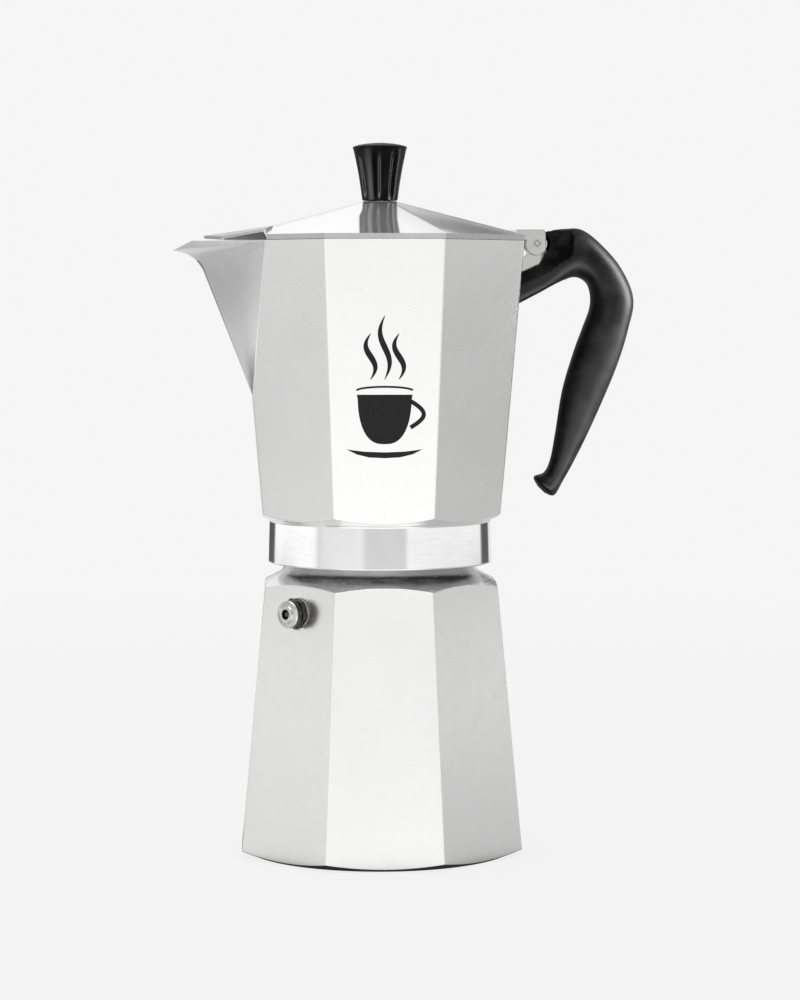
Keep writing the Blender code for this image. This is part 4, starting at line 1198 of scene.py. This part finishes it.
def make_knob():
    """Fluted taper with a domed top and a socket for its insert."""
    sides = 24 * FLUTES
    rows = [(knob_radius(KNOB_BOTTOM_Z) - 0.3, KNOB_BOTTOM_Z, 0.2)]
    steps = 26
    for i in range(steps + 1):
        z = between(KNOB_BOTTOM_Z + 0.3, KNOB_RIM_Z - 0.6, i / steps)
        depth = 0.95 * ease((z - KNOB_BOTTOM_Z + 1.0) / 5) * ease((KNOB_RIM_Z - 0.4 - z) / 4.5)
        rows.append((knob_radius(z), z, depth))
    rows += [(KNOB_RIM_R, KNOB_RIM_Z - 0.2, 0), (KNOB_RIM_R - 0.25, KNOB_RIM_Z + 0.15, 0),
             (KNOB_RIM_R - 0.8, KNOB_RIM_Z + 0.35, 0), (8.6, 289.15, 0), (6.0, 289.6, 0),
             (3.0, 289.9, 0), (0.6, KNOB_TOP_Z, 0)]
    angles = [math.tau * i / sides for i in range(sides)]
    grooves = [max(0.0, math.cos(FLUTES * (a - FLUTE_TURN))) ** 1.6 for a in angles]
    rings = [[around(a)(radius - groove * depth, z) for a, groove in zip(angles, grooves)]
             for radius, z, depth in rows]
    knob = mesh_object("knob_moulding", loft(rings), [KNOB_BLACK], sharp=40)
    combine(knob, "DIFFERENCE", tool("insert_socket", disc(3.4, 260, 284.5)))
    place(bake(knob, 40), "lid", "black_phenolic", "knob")


# ---------------------------------------------------------------- print on the front

PRINT_THICKNESS = 0.05


def on_front(across, z, out):
    """A point on the vessel's front face, moved outwards."""
    return (across, -vessel_corner_radius(z) * COS_HALF - out, z)


def print_shape(name, outline):
    rings = [[on_front(u, z, out) for u, z in outline] for out in (-0.05, PRINT_THICKNESS)]
    place(mesh_object(name, loft(rings), [INK]), "upper", None)


def stroke(points, widths):
    """The outline of a line of changing width through (across, z) points."""
    left, right = [], []
    for i, point in enumerate(points):
        before, after = Vector(points[max(0, i - 1)]), Vector(points[min(len(points) - 1, i + 1)])
        along = (after - before).normalized()
        side = Vector((-along.y, along.x)) * widths[i] / 2
        left.append(tuple(Vector(point) + side))
        right.append(tuple(Vector(point) - side))
    return left + right[::-1]


def make_print():
    """A plain steaming cup on a saucer."""
    steps = 24
    cup = [(-11.0, 189.0)]
    for i in range(steps + 1):
        angle = math.pi + math.pi * i / steps
        cup.append((10.6 * math.copysign(abs(math.cos(angle)) ** 0.75, math.cos(angle)),
                    187.0 + 18.5 * math.sin(angle) * 0.95))
    cup.append((11.0, 189.0))
    print_shape("print_cup", cup)
    rim = [(11.0 * math.cos(math.pi * i / 24), 190.6 + 1.5 * math.sin(math.pi * i / 24))
           for i in range(25)]
    print_shape("print_rim", stroke(rim, [0.8] * 25))
    ear = [(10.2 + 5.2 * math.sin(math.pi * i / 20), 186.5 - 10.5 * i / 20) for i in range(21)]
    print_shape("print_ear", stroke(ear, [1.7] * 21))
    saucer = [(-15.0, 167.4), (-11.0, 165.4), (-6.0, 164.2), (0, 163.9), (6.0, 164.2), (11.0, 165.4),
              (15.0, 167.4), (8.0, 166.5), (0, 166.2), (-8.0, 166.5)]
    print_shape("print_saucer", saucer)
    for k, (across, top) in enumerate(((-5.6, 213.0), (0.0, 220.0), (5.6, 213.0))):
        count = 32
        path = [(across + 1.9 * math.sin(math.tau * i / count), between(195.0, top, i / count))
                for i in range(count + 1)]
        widths = [0.25 + 2.1 * math.sin(math.pi * i / count) for i in range(count + 1)]
        print_shape("print_steam_%d" % k, stroke(path, widths))


# ---------------------------------------------------------------- stage

def window(field, low, high, soft):
    """One inside low..high, zero outside, with soft edges."""
    return field.spread(low - soft, low + soft) * field.spread(high - soft, high + soft, 1.0, 0.0)


def painted(tree, value, mask, radiance):
    """The value, replaced by a radiance where the mask is one."""
    node = tree.nodes.new("ShaderNodeMix")
    tree.links.new(mask.socket, node.inputs["Factor"])
    tree.links.new(value.socket, node.inputs[2])
    node.inputs[3].default_value = radiance
    return Field(tree, node.outputs[0])


# Parts of the room: azimuths and their softness, elevations and theirs, in degrees, and radiance.
# Azimuth 0 is in front of the pot and 90 on its right.
ROOM_PATCHES = (
    (-55, 24, 14, -60, 30, 10, 1.0),          # front
    (24, 62, 12, -60, 30, 12, 0.52),          # front right
    (-95, -62, 8, -60, 30, 12, 0.56),         # left
    (-125, -98, 5, -60, 12, 8, 0.40),         # behind left, for the spout
    (-185, -125, 8, -60, 12, 8, 0.75),
    (140, 185, 5, -60, 20, 8, 0.85),          # behind right
    (62, 120, 12, -60, 30, 12, 0.40),         # right
    (-143, -70, 3, -4, 1.5, 1.2, 1.15),       # a low band for the collar, left to right
    (-70, -19, 12, -4, 1.5, 1.2, 0.88),
    (-19, 25, 4, -4, 1.5, 1.2, 0.68),
    (25, 127, 3, -4, 1.5, 1.2, 1.03),
    (127, 151, 3, -5.5, 2.5, 1.2, 0.10),
    (-190, -143, 3, -5.5, 2.5, 1.2, 0.10),
)
# The same behind the pot, for the lid: azimuth 0 is straight behind and 90 on its right.
BACK_PATCHES = (
    (-60, 3, 4, 13, 50, 4, 1.02),
    (-60, 40, 4, 24, 50, 1.5, 1.05),
    (5, 50, 1.5, 10, 22.5, 1.5, 0.17),
)
OVERHEAD = 2.2


def studio(tree, direction):
    """Radiance of the room by direction."""
    x, y, z = parts_of(direction)
    turn = x.math("ARCTAN2", y * -1.0) * math.degrees(1)
    behind = x.math("ARCTAN2", y) * math.degrees(1)
    height = z.math("ARCSINE") * math.degrees(1)
    value = height.spread(-30.0, 0.0, 0.60, 0.56)
    for field, patches in ((turn, ROOM_PATCHES), (behind, BACK_PATCHES)):
        for left, right, soft, low, high, soft_z, radiance in patches:
            mask = window(field, left, right, soft) * window(height, low, high, soft_z)
            value = painted(tree, value, mask, radiance)
    return painted(tree, value, window(height, 58, 120, 8), OVERHEAD)


def make_world():
    world = bpy.data.worlds.new("studio")
    world.use_nodes = True
    bpy.context.scene.world = world
    tree = world.node_tree
    background = tree.nodes["Background"]
    direction = Field(tree, tree.nodes.new("ShaderNodeTexCoord").outputs["Generated"])
    seen = Field(tree, tree.nodes.new("ShaderNodeLightPath").outputs["Is Camera Ray"])
    shown = painted(tree, studio(tree, direction), seen, BACKDROP)
    tree.links.new(shown.socket, background.inputs["Color"])


# The floor by azimuth: from, to, softness and radiance
FLOOR_SIDES = ((-48, 42, 12, 1.08), (-94, -48, 4, 0.73), (-190, -125, 8, 0.75), (-125, -94, 4, 0.42),
               (50, 135, 12, 0.50))


def make_floor():
    """A pale sweep: even to the camera, differently bright on each side for the pot's reflections."""
    floor = mesh_object("floor", turned([(0, -4), (1300, -4), (1300, -0.02), (0, -0.02)], 128), [])
    made = bpy.data.materials.new("pale_sweep")
    made.use_nodes = True
    tree = made.node_tree
    shader = tree.nodes["Principled BSDF"]
    at = object_place(tree)
    x, y, _ = parts_of(at)
    turn = x.math("ARCTAN2", y * -1.0) * math.degrees(1)
    away = (x * x + y * y).math("SQRT")
    near = away.spread(0.35, 1.2, 1.0, 0.0)
    sides = turn * 0.0 + 0.58
    for low, high, soft, radiance in FLOOR_SIDES:
        sides = painted(tree, sides, window(turn, low, high, soft), radiance)
    # Painted shade: the floor's glow is cut to almost nothing close round the pot, where its own shadow
    # falls, as seen in the pot's reflections.
    sides = painted(tree, sides, away.spread(0.066, 0.085, 1.0, 0.0), 0.02)
    speckle = noise(at, 90.0, 3.0)
    albedo = near * 0.06
    seen = Field(tree, tree.nodes.new("ShaderNodeLightPath").outputs["Is Camera Ray"])
    to_camera = albedo * -1.3 + BACKDROP
    mix = tree.nodes.new("ShaderNodeMix")
    tree.links.new(seen.socket, mix.inputs["Factor"])
    tree.links.new(sides.socket, mix.inputs[2])
    tree.links.new(to_camera.socket, mix.inputs[3])
    tree.links.new(mix.outputs[0], shader.inputs["Emission Strength"])
    tree.links.new(albedo.socket, shader.inputs["Base Color"])
    shader.inputs["Emission Color"].default_value = (1, 1, 1, 1)
    shader.inputs["Specular IOR Level"].default_value = 0.0
    tree.links.new(speckle.spread(0.3, 0.7, 0.85, 0.95).socket, shader.inputs["Roughness"])
    floor.data.materials.append(made)


def lamp(name, place, size, radiance, pieces):
    """A soft lamp aimed at the handle, flagged off from everything but the given pieces."""
    light = bpy.data.lights.new(name, "AREA")
    light.shape = "RECTANGLE"
    light.size, light.size_y = size
    light.energy = radiance * math.pi * size[0] * size[1]
    obj = bpy.data.objects.new(name, light)
    bpy.context.scene.collection.objects.link(obj)
    obj.location = place
    aim = Vector((0.08, 0, 0.22)) - Vector(place)
    obj.rotation_euler = aim.to_track_quat("-Z", "Y").to_euler()
    lit = bpy.data.collections.new(name + "_lit")
    for piece in pieces:
        lit.objects.link(piece)
    obj.light_linking.receiver_collection = lit
    obj.visible_camera = False


def make_lamps():
    black = [bpy.data.objects[name] for name in ("handle_moulding", "knob_moulding")]
    lamp("right_softbox", (1.1, -0.15, 0.35), (0.8, 1.6), 120.0, black[:1])
    lamp("table_bounce", (0.12, -0.22, 0.015), (0.5, 0.2), 62.0, black[:1])
    lamp("right_strip", (1.1, -0.05, 0.35), (0.4, 1.0), 55.0, black[1:])
    lamp("left_strip", (-0.9, -0.55, 0.45), (0.4, 1.0), 70.0, black[1:])


def make_camera():
    camera = bpy.data.objects.new("camera", bpy.data.cameras.new("camera"))
    bpy.context.scene.collection.objects.link(camera)
    sine, cosine = math.sin(CAMERA_AZIMUTH), math.cos(CAMERA_AZIMUTH)
    camera.location = (CAMERA_ASIDE * cosine - CAMERA_DISTANCE * sine,
                       -CAMERA_DISTANCE * cosine - CAMERA_ASIDE * sine, CAMERA_HEIGHT)
    camera.rotation_euler = (math.radians(90) - CAMERA_TILT, 0, -CAMERA_AZIMUTH)
    camera.data.lens = LENS
    camera.data.sensor_width = 36
    bpy.context.scene.camera = camera
    bpy.context.scene.view_settings.view_transform = "Standard"


# ---------------------------------------------------------------- assembly

def give(name, finish):
    """A finish for a CAD node that keeps its own mesh."""
    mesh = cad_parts[name].data
    mesh.materials.clear()
    mesh.materials.append(finish)


def make_all():
    make_boiler()
    make_valve()
    make_funnel()
    perforated("funnel_plate_detail", BASKET_R - SHEET - GAP, BASKET_BOTTOM_Z + 2.7,
               BASKET_BOTTOM_Z + 3.5, 4.0, 0.8, "funnel", "funnel_plate")
    make_gasket()
    perforated("filter_plate_detail", 40.8, CEILING_Z - 0.8 - GAP, CEILING_Z - GAP, 4.0, 0.8,
               "seal", "filter_plate")
    make_vessel()
    make_hinge_lug()
    make_column()
    make_handle()
    make_hinge_pin()
    make_lid()
    make_beak_web()
    make_knob()
    make_print()
    give("handle_screw", STEEL)
    give("knob_screw", STEEL)
    give("knob_washer", STEEL)
    give("knob_insert", BRASS)
    make_world()
    make_floor()
    make_lamps()
    make_camera()


make_all()
